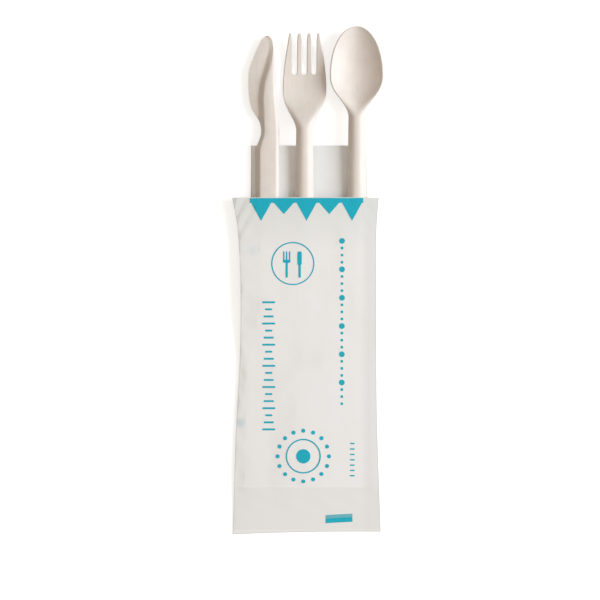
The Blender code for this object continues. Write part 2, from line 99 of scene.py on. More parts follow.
class CutlerySettings(bpy.types.PropertyGroup):
    """Sizes that the knife, the fork and the spoon share, and their finish."""

    wall: length("Head wall", 0.0014, "Thickness of the bowl, the fork's head and the blade")
    handle_rise: length("Handle rise", 0.0042, "Height of a handle's arch above its feet")
    neck_width: length("Neck width", 0.0109, "Width of a handle where it meets its head")
    end_width: length("End width", 0.0136, "Width of a handle near its end")
    end_round: length("End round", 0.0062, "How far a handle's end is rounded off")
    neck_height: length("Neck height", 0.0069, "Height of a handle's feet at its neck")
    cream: colour("Cream", (0.785, 0.738, 0.698), "Colour of the bioplastic")
    roughness: share("Roughness", 0.46, "How matt the bioplastic is")


class SpoonSettings(bpy.types.PropertyGroup):
    """Form of the spoon's bowl."""

    bowl_length: length("Bowl length", 0.056, "From the tip to the neck")
    widest_at: length("Widest at", 0.0305, "From the tip to the bowl's widest place")
    depth: length("Depth", 0.0060, "Depth of the bowl below its rim")
    tip_lift: length("Tip lift", 0.0010, "How much higher the rim is at the tip")


class ForkSettings(bpy.types.PropertyGroup):
    """Form of the fork's head and tines."""

    head_length: length("Head length", 0.061, "From the tips to the neck")
    tip_width: length("Tip width", 0.0182, "Width over the tines' tips")
    belly_at: length("Belly at", 0.0325, "From the tips to the lowest and widest place")
    dish: length("Dish", 0.0006, "Hollow across the head")
    tine_length: length("Tine length", 0.0253, "Depth of the gaps between the tines")
    tine_gap: length("Tine gap", 0.0030, "Width of the gaps between the tines")
    tine_width: length("Tine width", 0.0030, "Width of a middle tine")
    tip_taper: length("Tip taper", 0.0060, "How far the tines taper at their tips")
    tine_lift: length("Tine lift", 0.0048, "How high the tips stand above the belly")


class KnifeSettings(bpy.types.PropertyGroup):
    """Form of the knife's blade and rib."""

    width: length("Handle width", 0.0150, "Width of the knife's handle")
    rise: length("Handle rise", 0.0044, "Height of the knife's handle")
    blade_length: length("Blade length", 0.0600, "From the tip to the neck")
    blade_reach: length("Blade reach", 0.0122, "From the knife's axis to the cutting edge")
    edge_wall: length("Edge wall", 0.0009, "Thickness of the cutting edge")
    blade_wall: length("Blade wall", 0.0011, "Thickness of the blade beside the rib")
    tip_rise: length("Tip rise", 0.0020, "Height of the rib at the tip")
    rise_length: length("Rise length", 0.0360, "From the tip to the rib's full height")
    neck_length: length("Neck length", 0.0130, "From the blade to the handle's full width")
    rib_slope: length("Rib slope", 0.0035, "Width of the slope from the blade up to the rib")
    shoulder: length("Shoulder", 0.0028, "Width of the rounded back")
    tooth_pitch: length("Tooth pitch", 0.0014, "From one tooth to the next")
    tooth_depth: length("Tooth depth", 0.0005, "Depth of the teeth")


class NapkinSettings(bpy.types.PropertyGroup):
    """Leaves of the folded napkin."""

    leaf: length("Leaf", 0.00018, "Thickness of one leaf of tissue")
    fan: length("Fan", 0.0100, "How much wider the leaves spread at the foot")
    wave: length("Wave", 0.00022, "Height of the paper's soft waves")
    white: colour("White", (0.875, 0.895, 0.905), "Colour of the tissue paper")


class PouchSettings(bpy.types.PropertyGroup):
    """Film of the pouch and what is printed on it."""

    film: length("Film", 0.00008, "Thickness of the film")
    fall: length("Fall", 0.0360, "How far the film takes to come down past the handles' ends")
    sag: length("Sag", 0.00004, "How much the film sags in 10 mm between two handles")
    bulge: length("Side bulge", 0.0001, "How much it bulges in 10 mm beside the handles")
    fold_lift: length("Fold lift", 0.0016, "How high the side folds lie beside the napkin")
    mouth_lift: length("Mouth lift", 0.0040, "How much higher the side folds lie at the mouth")
    clearance: length("Clearance", 0.0005, "Least room between the film and what lies under it")
    foot_bow: length("Foot bow", 0.0006, "How much the foot's edge bows in at its middle")
    foot_slant: length("Foot slant", 0.0016, "How much further in the foot's edge lies at the right")
    weld: length("Weld", 0.0022, "Width of the weld across the foot")
    crease: length("Crease", 0.00050, "Height of the creases at the mouth's corners")
    crease_length: length("Crease length", 0.0400, "How far down from the mouth they reach")
    ripple: length("Ripple", 0.00010, "Height of the film's fine ripples")
    milk: colour("Milk", (0.958, 0.963, 0.969), "Colour of the milky film")
    alpha: share("Alpha", 0.90, "How much each face of the film covers")
    ink: colour("Ink", (0.0, 0.435, 0.58), "Colour of the print")
    pale_ink: colour("Pale ink", (0.15, 0.48, 0.57), "Colour of the mark's lighter half")
    ink_height: length("Ink height", 0.00005, "How far the print lies above the film")


class StudioSettings(bpy.types.PropertyGroup):
    """Camera, lamp and table."""

    metres_per_pixel: length("Metres per pixel", 0.000625, "Size of a pixel on the table")
    centre_x: length("Centre X", -0.00406, "Where the camera looks, across")
    centre_y: length("Centre Y", 0.0414, "Where the camera looks, along")
    height: length("Camera height", 1.04, "How high the camera stands")
    key_power: bpy.props.FloatProperty(
        name="Key power", description="Power of the lamp on the right", default=40.6, unit="POWER"
    )
    key_colour: colour("Key colour", (0.88, 0.943, 1.0), "Colour of that lamp")
    key_x: length("Key X", 1.69, "Where the lamp stands, across")
    key_y: length("Key Y", 0.25, "Where the lamp stands, along")
    key_z: length("Key Z", 1.05, "How high the lamp stands")
    key_width: length("Key width", 0.75, "Width of the lamp")
    key_length: length("Key length", 1.2, "Length of the lamp")
    fill: colour("Fill", (0.16, 0.12, 0.08), "Light that comes from all round")
    top_light: colour("Top light", (0.635, 0.575, 0.512), "Light added from straight above")
    table: colour("Table", (0.55, 0.55, 0.55), "Colour of the table")


class CutlerySet(bpy.types.PropertyGroup):
    """All the settings of the set."""

    cutlery: bpy.props.PointerProperty(type=CutlerySettings)
    spoon: bpy.props.PointerProperty(type=SpoonSettings)
    fork: bpy.props.PointerProperty(type=ForkSettings)
    knife: bpy.props.PointerProperty(type=KnifeSettings)
    napkin: bpy.props.PointerProperty(type=NapkinSettings)
    pouch: bpy.props.PointerProperty(type=PouchSettings)
    studio: bpy.props.PointerProperty(type=StudioSettings)


def settings():
    """All the settings, as they stand in the scene."""
    return bpy.context.scene.cutlery_set


# Curves and surfaces as whole arrays

def smooth(at):
    """0 below 0, 1 above 1, and the even S-curve 3t² - 2t³ between."""
    at = np.clip(at, 0.0, 1.0)
    return at * at * (3.0 - 2.0 * at)


def mix(first, second, part):
    """The straight line from the first, where the part is 0, to the second, where it is 1."""
    return first + (second - first) * part


def through(keys, at):
    """A smooth curve through (place, value) keys: a cubic between each pair, whose slope at a
    key is that of its neighbours."""
    places, values = np.array(keys, float).T
    slopes = np.gradient(values, places)
    at = np.clip(at, places[0], places[-1])
    left = np.clip(np.searchsorted(places, at, side="right") - 1, 0, len(places) - 2)
    span = places[left + 1] - places[left]
    t = (at - places[left]) / span
    return (
        values[left] * (1 + 2 * t) * (1 - t) ** 2
        + values[left + 1] * t * t * (3 - 2 * t)
        + span * slopes[left] * t * (1 - t) ** 2
        - span * slopes[left + 1] * t * t * (1 - t)
    )


def column(values):
    """A value for each row, ready to meet a row of values."""
    return np.asarray(values, float)[:, None]


def between(grid, rows, columns):
    """Values of a grid at places between its points, in proportion from the four nearest."""
    row = np.clip(rows.astype(int), 0, grid.shape[0] - 2)
    side = np.clip(columns.astype(int), 0, grid.shape[1] - 2)
    r, c = rows - row, columns - side
    return (
        grid[row, side] * (1 - r) * (1 - c) + grid[row + 1, side] * r * (1 - c)
        + grid[row, side + 1] * (1 - r) * c + grid[row + 1, side + 1] * r * c
    )


def spaced(stops):
    """Places with the given greatest step between each stop and the next: ((place, step), ...)."""
    runs = []
    for (start, step), (end, _) in zip(stops, stops[1:]):
        count = max(1, int(math.ceil((end - start) / step)))
        runs.append(np.linspace(start, end, count, endpoint=False))
    return np.concatenate(runs + [[stops[-1][0]]])


def mesh_from(name, points, quads, caps=()):
    """A mesh from whole arrays: points (n, 3), quads (m, 4) and a few faces of many corners."""
    mesh = bpy.data.meshes.new(name)
    loops = [quads.ravel()] + [np.asarray(cap) for cap in caps]
    sizes = np.concatenate([np.full(len(quads), 4), [len(cap) for cap in caps]]).astype(int)
    corners = np.concatenate(loops).astype(np.int32)
    mesh.vertices.add(len(points))
    mesh.vertices.foreach_set("co", np.asarray(points, np.float32).ravel())
    mesh.loops.add(len(corners))
    mesh.loops.foreach_set("vertex_index", corners)
    mesh.polygons.add(len(sizes))
    starts = np.concatenate([[0], np.cumsum(sizes)[:-1]]).astype(np.int32)
    mesh.polygons.foreach_set("loop_start", starts)
    mesh.update(calc_edges=True)
    mesh.validate()
    return mesh


def grid_quads(rows, columns, wrap=False, offset=0):
    """Quads between neighbours of a grid whose points are numbered row by row."""
    index = np.arange(rows * columns).reshape(rows, columns) + offset
    if wrap:
        index = np.concatenate([index, index[:, :1]], axis=1)
    corners = (index[:-1, :-1], index[:-1, 1:], index[1:, 1:], index[1:, :-1])
    return np.stack(corners, axis=-1).reshape(-1, 4)


def face_outwards(mesh):
    """Turns a closed mesh's faces round if the volume under them comes out negative."""
    mesh.calc_loop_triangles()
    points = np.empty(len(mesh.vertices) * 3)
    mesh.vertices.foreach_get("co", points)
    corners = np.empty(len(mesh.loop_triangles) * 3, np.int32)
    mesh.loop_triangles.foreach_get("vertices", corners)
    a, b, c = points.reshape(-1, 3)[corners.reshape(-1, 3)].transpose(1, 0, 2)
    if np.einsum("ij,ij->i", a, np.cross(b, c)).sum() < 0:
        mesh.flip_normals()


def lofts(name, shells, sharp_angle=50.0, cap=None):
    """One object of closed skins, each over rings of points (rows, points round, 3). One face
    closes each end, or the faces of a cap, given as places on the ring."""
    points, quads, caps, offset = [], [], [], 0
    for rings in shells:
        rows, around, _ = rings.shape
        points.append(rings.reshape(-1, 3))
        quads.append(grid_quads(rows, around, wrap=True, offset=offset))
        faces = [np.arange(around)] if cap is None else cap
        caps += [face[::-1] + offset for face in faces]
        caps += [face + offset + (rows - 1) * around for face in faces]
        offset += rows * around
    mesh = mesh_from(name, np.concatenate(points), np.concatenate(quads), caps)
    face_outwards(mesh)
    mesh.shade_smooth()
    mesh.set_sharp_from_angle(angle=math.radians(sharp_angle))
    return linked(name, mesh)


def linked(name, mesh):
    """An object of that mesh at the origin, put into the scene."""
    piece = bpy.data.objects.new(name, mesh)
    bpy.context.scene.collection.objects.link(piece)
    return piece


def shell_rings(x, y, z, wall):
    """Rings round a wall that hangs under a line. x and z are (rows, points), y and wall one
    value a row. A ring runs out along the line, round a half circle as wide as the wall, back
    along the line moved by the wall along its own normal, and round the other half circle."""
    tangent_x, tangent_z = np.gradient(x, axis=1), np.gradient(z, axis=1)
    size = np.maximum(np.hypot(tangent_x, tangent_z), 1e-9)
    tangent_x, tangent_z = tangent_x / size, tangent_z / size
    down_x, down_z = tangent_z, -tangent_x
    radius = column(wall) / 2
    middle_x, middle_z = x + down_x * radius, z + down_z * radius
    turn = np.linspace(-math.pi / 2, math.pi / 2, LIP_POINTS + 2)[1:-1]

    def around(line, middle, tangent, down):
        """One coordinate of the ring."""
        out, across = radius * np.cos(turn), radius * np.sin(turn)
        right = middle[:, -1:] + tangent[:, -1:] * out + down[:, -1:] * across
        left = middle[:, :1] - tangent[:, :1] * out - down[:, :1] * across
        under = (middle + down * radius)[:, ::-1]
        return np.concatenate([line, right, under, left], axis=1)

    ring_x = around(x, middle_x, tangent_x, down_x)
    ring_z = around(z, middle_z, tangent_z, down_z)
    return np.stack([ring_x, np.broadcast_to(column(y), ring_x.shape), ring_z], axis=-1)


# Forms that the cutlery shares

# Points across a face and a tine and round an edge, and the greatest steps along: at an end,
# near it, and down a handle, where they start at this many head lengths from the tip
LINE_POINTS, TINE_POINTS, LIP_POINTS = 41, 15, 7
FINE_STEP, END_STEP, HANDLE_STEP = 0.00012, 0.0006, 0.0035
PAST_NECK = 1.06

# How far from the ends walls and tines are rounded off, how far short of a handle's end its last
# ring lies, how far a tine reaches into the head, and how far the spoon reaches past its box
WALL_ROUND, TINE_ROUND = 0.0007, 0.0011
SHORT_OF_END, ROOT_OVERLAP, SPOON_PAST = 0.00002, 0.00004, 0.0001

# Powers of a handle's and a head's section, of the bowl's nose, closing and fullness, and of the
# tines' spread, the head's closing and the tips' flare
ARCH_POWER, HEAD_POWER = 2.4, 8.0
BOWL_NOSE, BOWL_CLOSING, BOWL_FULLNESS = 2.1, 1.1, 0.8
TINE_SPREAD, HEAD_CLOSING, TIP_FLARE = 1.6, 1.4, 2.2

# Shares: the lip's of half the wall, the foot's drop of the wall, a rounded end's least size, and
# of the head's length the bowl's deepest place and where the handles begin to form
LIP_SHARE_HEAD, LIP_SHARE_HANDLE = 0.85, 0.5
FOOT_DROP = 0.70
LEAST_EASED = 0.02
DEEPEST_AT, SPOON_HANDLE_FROM, FORK_HANDLE_FROM = 0.48, 0.66, 0.62

# Where a handle narrows to nothing, its wall is at most this share of its half width
WALL_TO_HALF_WIDTH = 1.2


def eased(places, reach):
    """A quarter circle from almost 0 at the first place to 1 after the reach, for round ends."""
    into = np.clip((places - places[0]) / reach, 0.0, 1.0)
    return np.sqrt(np.maximum(1.0 - (1.0 - into) ** 2, LEAST_EASED))


def eased_ends(places, reach):
    """The same at both ends."""
    return eased(places, reach) * eased(-places[::-1], reach)[::-1]


def across_line(count):
    """Places across, close together at both edges: the sine of evenly spaced angles."""
    return np.sin(math.pi / 2 * np.linspace(-1.0, 1.0, count))


def round_end_stops(total):
    """The last stops of spaced(), over a handle's rounded end."""
    end_round = settings().cutlery.end_round
    return (total - end_round, END_STEP), (total - END_STEP, FINE_STEP), (total - SHORT_OF_END, 0.0)


def handle_half(along, neck_at, total):
    """Half the handle's width: wider towards its end, which a quarter ellipse rounds off."""
    sizes = settings().cutlery
    straight = mix(sizes.neck_width, sizes.end_width, (along - neck_at) / (total - neck_at)) / 2
    into = np.clip((along - (total - sizes.end_round)) / sizes.end_round, 0.0, 1.0)
    return straight * np.sqrt(1.0 - into**2)


def handle_foot(along, neck_at, total):
    """Height of the handle's feet: a straight line from the neck down to the napkin."""
    part = np.clip((along - neck_at) / (total - neck_at), 0.0, 1.0)
    return mix(settings().cutlery.neck_height, HANDLE_REST, part)


def arched_line(half, edge, to_handle, dish):
    """The upper face's line at each place: z = edge + rise (1 - |u|^p) - dish (1 - u²), where u
    is the place across as a share of the half width, and the arch grows into the handle."""
    sizes = settings().cutlery
    lip = sizes.wall / 2
    rise = (sizes.handle_rise - FOOT_DROP * sizes.wall) * to_handle
    rise = rise * np.minimum(1.0, half / (sizes.neck_width / 2)) ** 0.5
    edge = edge + FOOT_DROP * sizes.wall * to_handle
    inner = np.maximum(half - lip * mix(LIP_SHARE_HEAD, LIP_SHARE_HANDLE, to_handle), 0.1 * half)
    u = across_line(LINE_POINTS)
    power = column(mix(HEAD_POWER, ARCH_POWER, to_handle))
    x = column(inner) * u
    z = column(edge) + column(rise) * (1 - np.abs(u) ** power) - column(dish) * (1 - u**2)
    return x, z


# Spoon

def spoon_form(along, total):
    """Half width, height of the edge, share of handle and depth of the dish, each a formula of
    the distance from the tip: an ellipse out to the widest place, half a cosine in to the
    neck, and a dish that is deepest near the middle of the bowl."""
    form, sizes = settings().spoon, settings().cutlery
    neck_at = form.bowl_length
    ahead = np.clip((form.widest_at - along) / form.widest_at, 0.0, 1.0)
    width = SPOON_HIGH[0] - SPOON_LOW[0]
    front = width / 2 * np.sqrt(1.0 - ahead**BOWL_NOSE)
    closing = np.clip((along - form.widest_at) / (neck_at - form.widest_at), 0.0, 1.0)
    closing = 0.5 - 0.5 * np.cos(math.pi * closing**BOWL_CLOSING)
    half = mix(front, handle_half(np.maximum(along, neck_at), neck_at, total), closing)
    deepest, handle_from = DEEPEST_AT * neck_at, SPOON_HANDLE_FROM * neck_at
    to_handle = smooth((along - handle_from) / (neck_at - handle_from))
    off = np.where(along < deepest, 1.0 - along / deepest, (along - deepest) / (neck_at - deepest))
    hollow = np.clip(1.0 - off**2, 0.0, 1.0) ** BOWL_FULLNESS
    lift = form.tip_lift * np.clip(1.0 - along / deepest, 0.0, 1.0) ** 2
    edge = mix(form.depth + sizes.wall + lift, handle_foot(along, neck_at, total), to_handle)
    return half, edge, to_handle, form.depth * hollow


def make_spoon():
    """The spoon: a wall under one line across at each place from its tip to its handle's end."""
    total = SPOON_HIGH[1] - SPOON_LOW[1] + SPOON_PAST
    past_neck = (PAST_NECK * settings().spoon.bowl_length, HANDLE_STEP)
    tip = ((0.00006, FINE_STEP), (0.0012, 0.0004), (0.006, 0.0009))
    along = spaced((*tip, past_neck, *round_end_stops(total)))
    half, edge, to_handle, dish = spoon_form(along, total)
    x, z = arched_line(half, edge, to_handle, dish)
    walls = settings().cutlery.wall * eased_ends(along, WALL_ROUND)
    walls = np.minimum(walls, WALL_TO_HALF_WIDTH * half)
    middle = (SPOON_LOW[0] + SPOON_HIGH[0]) / 2
    return lofts("spoon_moulding", [shell_rings(x + middle, SPOON_HIGH[1] - along, z, walls)])


# Fork

def fork_form(along, total):
    """The same for the fork: tines that spread a little and curve down to a low belly, a
    shallow dish, and half a cosine in to the neck."""
    form, sizes = settings().fork, settings().cutlery
    neck_at = form.head_length
    behind = np.clip((form.belly_at - along) / form.belly_at, 0.0, 1.0)
    width = FORK_HIGH[0] - FORK_LOW[0]
    front = (width - (width - form.tip_width) * behind**TINE_SPREAD) / 2
    closing = np.clip((along - form.belly_at) / (neck_at - form.belly_at), 0.0, 1.0)
    climb = smooth(closing)
    closing = 0.5 - 0.5 * np.cos(math.pi * closing**HEAD_CLOSING)
    half = mix(front, handle_half(np.maximum(along, neck_at), neck_at, total), closing)
    handle_from = FORK_HANDLE_FROM * neck_at
    to_handle = smooth((along - handle_from) / (neck_at - handle_from))
    lift = form.tine_lift * behind**2
    edge = mix(sizes.wall + form.dish + lift, handle_foot(along, neck_at, total), climb)
    return half, edge, to_handle, form.dish * (1.0 - to_handle)


def slot_half(along):
    """Half the width of the gaps between tines: flared at the tips, a half circle at the root."""
    form = settings().fork
    radius = form.tine_gap / 2
    to_tip = np.clip(1.0 - along / form.tip_taper, 0.0, 1.0)
    flare = form.tine_width / 4 * to_tip**TIP_FLARE
    into_root = np.clip(along - (form.tine_length - radius), 0.0, radius)
    return np.sqrt(radius**2 - into_root**2) + flare


def make_tine(number, total, middle):
    """One tine: the fork's upper face between two gaps, or a gap and the head's side."""
    form, wall = settings().fork, settings().cutlery.wall
    root = form.tine_length
    tip = ((0.00004, 0.0001), (0.0006, 0.0004), (form.tip_taper, 0.0012))
    along = spaced((*tip, (root - 0.0012, FINE_STEP), (root + ROOT_OVERLAP, 0.0)))
    half, edge, _, dish = fork_form(along, total)
    pitch = form.tine_width + form.tine_gap
    gap = slot_half(along)
    lip = wall / 2 * LIP_SHARE_HEAD
    left = -half + lip if number == 0 else (number - 2) * pitch + gap + lip
    right = half - lip if number == 3 else (number - 1) * pitch - gap - lip
    reach = np.maximum((right - left) / 2, 0.0001) * eased(along, TINE_ROUND)
    x = column((left + right) / 2) + column(reach) * across_line(TINE_POINTS)
    z = column(edge) - column(dish) * (1 - (x / column(half)) ** 2)
    walls = wall * eased(along, WALL_ROUND)
    return shell_rings(x + middle, FORK_HIGH[1] - along, z - column(wall - walls) / 2, walls)


def make_fork():
    """The fork: head and handle in one like the spoon's, and four tines that meet the head."""
    form, total = settings().fork, FORK_HIGH[1] - FORK_LOW[1]
    past_neck = (PAST_NECK * form.head_length, HANDLE_STEP)
    along = spaced(((form.tine_length, 0.001), past_neck, *round_end_stops(total)))
    half, edge, to_handle, dish = fork_form(along, total)
    x, z = arched_line(half, edge, to_handle, dish)
    walls = settings().cutlery.wall * eased(-along[::-1], WALL_ROUND)[::-1]
    walls = np.minimum(walls, WALL_TO_HALF_WIDTH * half)
    middle = (FORK_LOW[0] + FORK_HIGH[0]) / 2
    head = shell_rings(x + middle, FORK_HIGH[1] - along, z, walls)
    tines = [make_tine(number, total, middle) for number in range(4)]
    return lofts("fork_moulding", [head] + tines)


# Knife

# Cutting edge, back and crest of the rib, along the blade as a share of its length, and out
# from the knife's axis as a share of the blade's reach or of half the handle
EDGE_KEYS = (
    (0.00, 0.08), (0.02, 0.21), (0.10, 0.45), (0.23, 0.74), (0.35, 0.95), (0.50, 1.00),
    (0.64, 0.95), (0.77, 0.80), (0.84, 0.57), (0.88, 0.44), (0.93, 0.36), (0.98, 0.32),
    (1.00, 0.325),
)
BACK_KEYS = (
    (0.00, 0.02), (0.02, 0.26), (0.07, 0.45), (0.13, 0.54), (0.26, 0.63), (0.52, 0.73),
    (0.67, 0.80), (0.78, 0.89), (0.88, 0.95), (1.00, 0.99),
)
RIB_KEYS = (
    (0.00, 0.02), (0.02, -0.15), (0.07, -0.36), (0.13, -0.43), (0.26, -0.32), (0.52, 0.18),
    (0.67, 0.285), (0.78, 0.25), (1.00, 0.235),
)
CREST_SHARE = 0.60

# Shares: a face's least width of the knife's, a thin plate's wall of the height, the rounded
# back's foot of its height, and the blade's least height where the rib takes up its width
LEAST_FACE, THIN_PLATE, BACK_FOOT, LEAST_BLADE = 0.03, 0.7, 0.22, 0.04

TEETH_FROM, TEETH_TO, TEETH_FADE = 0.0090, 0.0490, 0.002
CROWN = 0.00018
BLADE_POINTS, CROWN_POINTS, BACK_POINTS = 15, 12, 14


def knife_sides(along, total):
    """Cutting edge, foot and crest of the rib, and back, as arrays measured from the axis."""
    form, end_round = settings().knife, settings().cutlery.end_round
    half = form.width / 2
    part = along / form.blade_length
    past = smooth((along - form.blade_length) / form.neck_length)
    into = np.clip((along - (total - end_round)) / end_round, 0.0, 1.0)
    rounding = np.sqrt(1.0 - into**2)
    left = mix(-form.blade_reach * through(EDGE_KEYS, part), -half, past) * rounding
    right = mix(half * through(BACK_KEYS, part), half, past) * rounding
    crest = mix(-half * through(RIB_KEYS, part), -CREST_SHARE * half, past) * rounding
    least = LEAST_FACE * (right - left)
    crest = np.minimum(np.maximum(crest, left + 2 * least), right - 2 * least)
    foot = np.maximum(crest - form.rib_slope * np.minimum(1.0, 0.45 + 2 * part), left)
    return left, np.minimum(foot, crest - least), crest, right


def knife_places(total):
    """Places along the knife, close together at its tip, over its teeth and at its end."""
    form = settings().knife
    tip = ((0.00004, 0.0001), (0.0010, 0.0003), (0.006, 0.0006))
    teeth = ((TEETH_FROM, form.tooth_pitch / 8), (TEETH_TO, 0.0008))
    past_neck = (form.blade_length + form.neck_length, 0.004)
    return spaced((*tip, *teeth, past_neck, *round_end_stops(total)))


def make_knife():
    """Rings of the knife: blade, slope of the rib, crown and rounded back above, and below a
    flat blade, the wall's feet and the channel under the handle."""
    form = settings().knife
    total = KNIFE_HIGH[1] - KNIFE_LOW[1]
    along = knife_places(total)
    left, foot, crest, right = knife_sides(along, total)
    width = np.maximum(right - left, 1e-6)
    ends = eased_ends(along, WALL_ROUND)
    rise = mix(form.tip_rise, form.rise, smooth(along / form.rise_length))
    rise = rise * np.minimum(1.0, (width / form.width) ** 0.5) * ends
    plate = np.minimum(form.blade_wall, THIN_PLATE * rise)
    shoulder = np.minimum(form.shoulder, 0.45 * (right - crest))
    has_blade = mix(LEAST_BLADE, 1.0, smooth((foot - left) / (0.2 * form.blade_reach)))

    teeth = 1.0 - np.abs(2.0 * ((along - TEETH_FROM) / form.tooth_pitch % 1.0) - 1.0)
    fade = smooth((along - TEETH_FROM) / TEETH_FADE) * smooth((TEETH_TO - along) / TEETH_FADE)
    bite = form.tooth_depth * teeth * fade

    blade = np.linspace(0.0, 1.0, BLADE_POINTS)[None, :-1]
    blade_x = mix(column(left + bite * has_blade), column(foot), blade)
    blade_z = mix(column(form.edge_wall * ends), column(plate), smooth(blade * 1.3))
    blade_z = (blade_z - column(bite) * 0.5 * (1 - blade) ** 6) * column(has_blade)
    slope = np.linspace(0.0, 1.0, BLADE_POINTS)[None, :]
    slope_x = mix(column(foot), column(crest), slope)
    climb = 0.4 * slope + 0.6 * np.sin(math.pi / 2 * slope) ** 2
    slope_z = mix(column(plate * has_blade), column(rise - CROWN), climb)
    crown = np.linspace(0.0, 1.0, CROWN_POINTS)[None, 1:-1]
    crown_x = mix(column(crest), column(right - shoulder), crown)
    crown_z = column(rise) - CROWN * (2 * crown - 1) ** 2
    turn = np.linspace(0.0, math.pi / 2, BACK_POINTS)[None, :]
    back_x = column(right - shoulder) + column(shoulder) * np.sin(turn)
    back_z = column(rise - CROWN) * mix(BACK_FOOT, 1.0, np.cos(turn))
    top_x = np.concatenate([blade_x, slope_x, crown_x, back_x, column(right)], axis=1)
    top_z = np.concatenate([blade_z, slope_z, crown_z, back_z, column(0.0 * right)], axis=1)

    wall = np.minimum(settings().cutlery.wall, 0.3 * width)
    ceiling = np.maximum(rise - wall, 0.1 * rise)
    inner_right = right - wall
    inner_left = np.minimum(np.maximum(crest, left + wall), inner_right - 1e-4)
    inner_foot = np.minimum(np.maximum(foot, left) + wall, inner_left)
    middle = (inner_left + inner_right) / 2
    under = (
        (inner_right, 0.0), (np.maximum(inner_right - 0.3 * shoulder, middle), 0.6),
        (np.maximum(inner_right - 0.6 * shoulder, middle), 1.0), (inner_left, 1.0), (inner_foot, 0.0),
        (left + bite * has_blade, 0.0),
    )
    under_x = np.stack([x for x, _ in under], axis=1)
    under_z = np.stack([ceiling * height for _, height in under], axis=1)
    ring_x = np.concatenate([top_x, under_x], axis=1) + KNIFE_HIGH[0] - form.width / 2
    ring_z = np.concatenate([top_z, under_z], axis=1) + KNIFE_LOW[2]
    ring_y = np.broadcast_to(column(KNIFE_HIGH[1] - along), ring_x.shape)
    return lofts("knife_moulding", [np.stack([ring_x, ring_y, ring_z], axis=-1)], 40.0)


# Napkin

# Points round a fold, across a leaf and down one
FOLD_POINTS, LEAF_POINTS, LENGTH_POINTS = 9, 26, 60

# Leaves above the lowest, the room above and below them, and how far they reach past the box
# that the fan leaves
LEAVES_ABOVE = 7
LEAF_ROOM = 0.0001
LEAF_REACH = 0.0008


def folded_lines():
    """Middle line of the doubled leaf across the napkin: out along the lowest leaf, round the
    outer fold, back, round the inner fold, and out again. x, z and the line's own normal."""
    low, high = NAPKIN_LOW, NAPKIN_HIGH
    pitch = (high[2] - low[2] - 2 * LEAF_ROOM) / LEAVES_ABOVE
    half = (high[0] - low[0] - settings().napkin.fan) / 2 + LEAF_REACH
    base = low[2] + LEAF_ROOM + pitch / 2
    left, right = -half + 3.5 * pitch, half - 1.5 * pitch
    turn = np.linspace(0.0, math.pi, FOLD_POINTS)
    run = np.linspace(0.0, 1.0, LEAF_POINTS)[1:-1]

    def flat(start, end, level, way, run=run):
        """A leaf at a level, in steps of the pitch, whose normal points up or down."""
        same = np.ones(len(run))
        return mix(start, end, run), (base + level * pitch) * same, 0.0 * same, way * same

    def fold(at, level, reach, side, rising, way):
        """A half circle about a level, with its normal out of the fold or into it."""
        across, height = side * np.sin(turn), -rising * np.cos(turn)
        x, z = at + reach * pitch * across, base + pitch * (level + reach * height)
        return x, z, way * across, way * height

    parts = [
        flat(half, left, 0, -1, np.concatenate([[0.0], run])), fold(left, 3, 3, -1, 1, 1),
        flat(left, right, 6, 1), fold(right, 5, 1, 1, -1, 1),
        flat(right, left, 4, -1), fold(left, 3, 1, -1, -1, -1),
        flat(left, half, 2, 1),
    ]
    return [np.concatenate(values) for values in zip(*parts)], pitch


def make_napkin():
    """The doubled leaf (a hairpin seen from the side) carried along the folded line. Leaves
    fan out towards the foot, lie in soft waves, and end a little unevenly at their edges."""
    (line_x, line_z, normal_x, normal_z), pitch = folded_lines()
    top_y, foot_y = NAPKIN_HIGH[1] - pitch / 2 - LEAF_ROOM, NAPKIN_LOW[1] + 0.0006
    run = np.linspace(foot_y, top_y, LENGTH_POINTS)
    lower = np.full(LENGTH_POINTS, -0.5)
    turn = np.linspace(-math.pi / 2, math.pi / 2, FOLD_POINTS)[1:-1]
    side_y = np.concatenate([run, top_y + pitch / 2 * np.cos(turn), run[::-1]])
    side_z = np.concatenate([lower, 0.5 * np.sin(turn), -lower]) * pitch
    x = column(line_x) + column(normal_x) * side_z
    z = column(line_z) + column(normal_z) * side_z
    y = np.broadcast_to(side_y, x.shape)
    height = (z - NAPKIN_LOW[2]) / (NAPKIN_HIGH[2] - NAPKIN_LOW[2])
    down = (NAPKIN_HIGH[1] - y) / (NAPKIN_HIGH[1] - NAPKIN_LOW[1])
    x = x + settings().napkin.fan * down * (height - 0.5)
    near_foot = smooth((foot_y + 0.02 - y) / 0.02)
    uneven = 0.0005 * np.sin(9.0 * height + 2.0) * near_foot
    waves = np.sin(90.0 * x + 25.0 * y) * np.sin(41.0 * y + 1.0)
    waves = waves + 0.5 * np.sin(55.0 * y - 130.0 * x)
    z = z + settings().napkin.wave * waves * 0.45 * np.clip(height, 0.0, 1.0)
    middle = (NAPKIN_LOW[0] + NAPKIN_HIGH[0]) / 2
    points = np.stack([x + middle, y + uneven, z], axis=-1)
    rows, columns, _ = points.shape
    mesh = mesh_from("napkin_folded", points.reshape(-1, 3), grid_quads(rows, columns))
    piece = linked("napkin_folded", mesh)
    piece.data.shade_smooth()
    leaf = piece.modifiers.new("leaf", "SOLIDIFY")
    leaf.thickness = settings().napkin.leaf
    leaf.offset = 0.0
    return piece


# Pouch: the front film is a membrane drawn over what lies under it

# The film's grid, every how many of its columns the back has one, and how far out it lies flat
FILM_COLUMNS, FILM_ROWS = 145, 241
BACK_STEP, BACK_FLAT = 4, 0.86

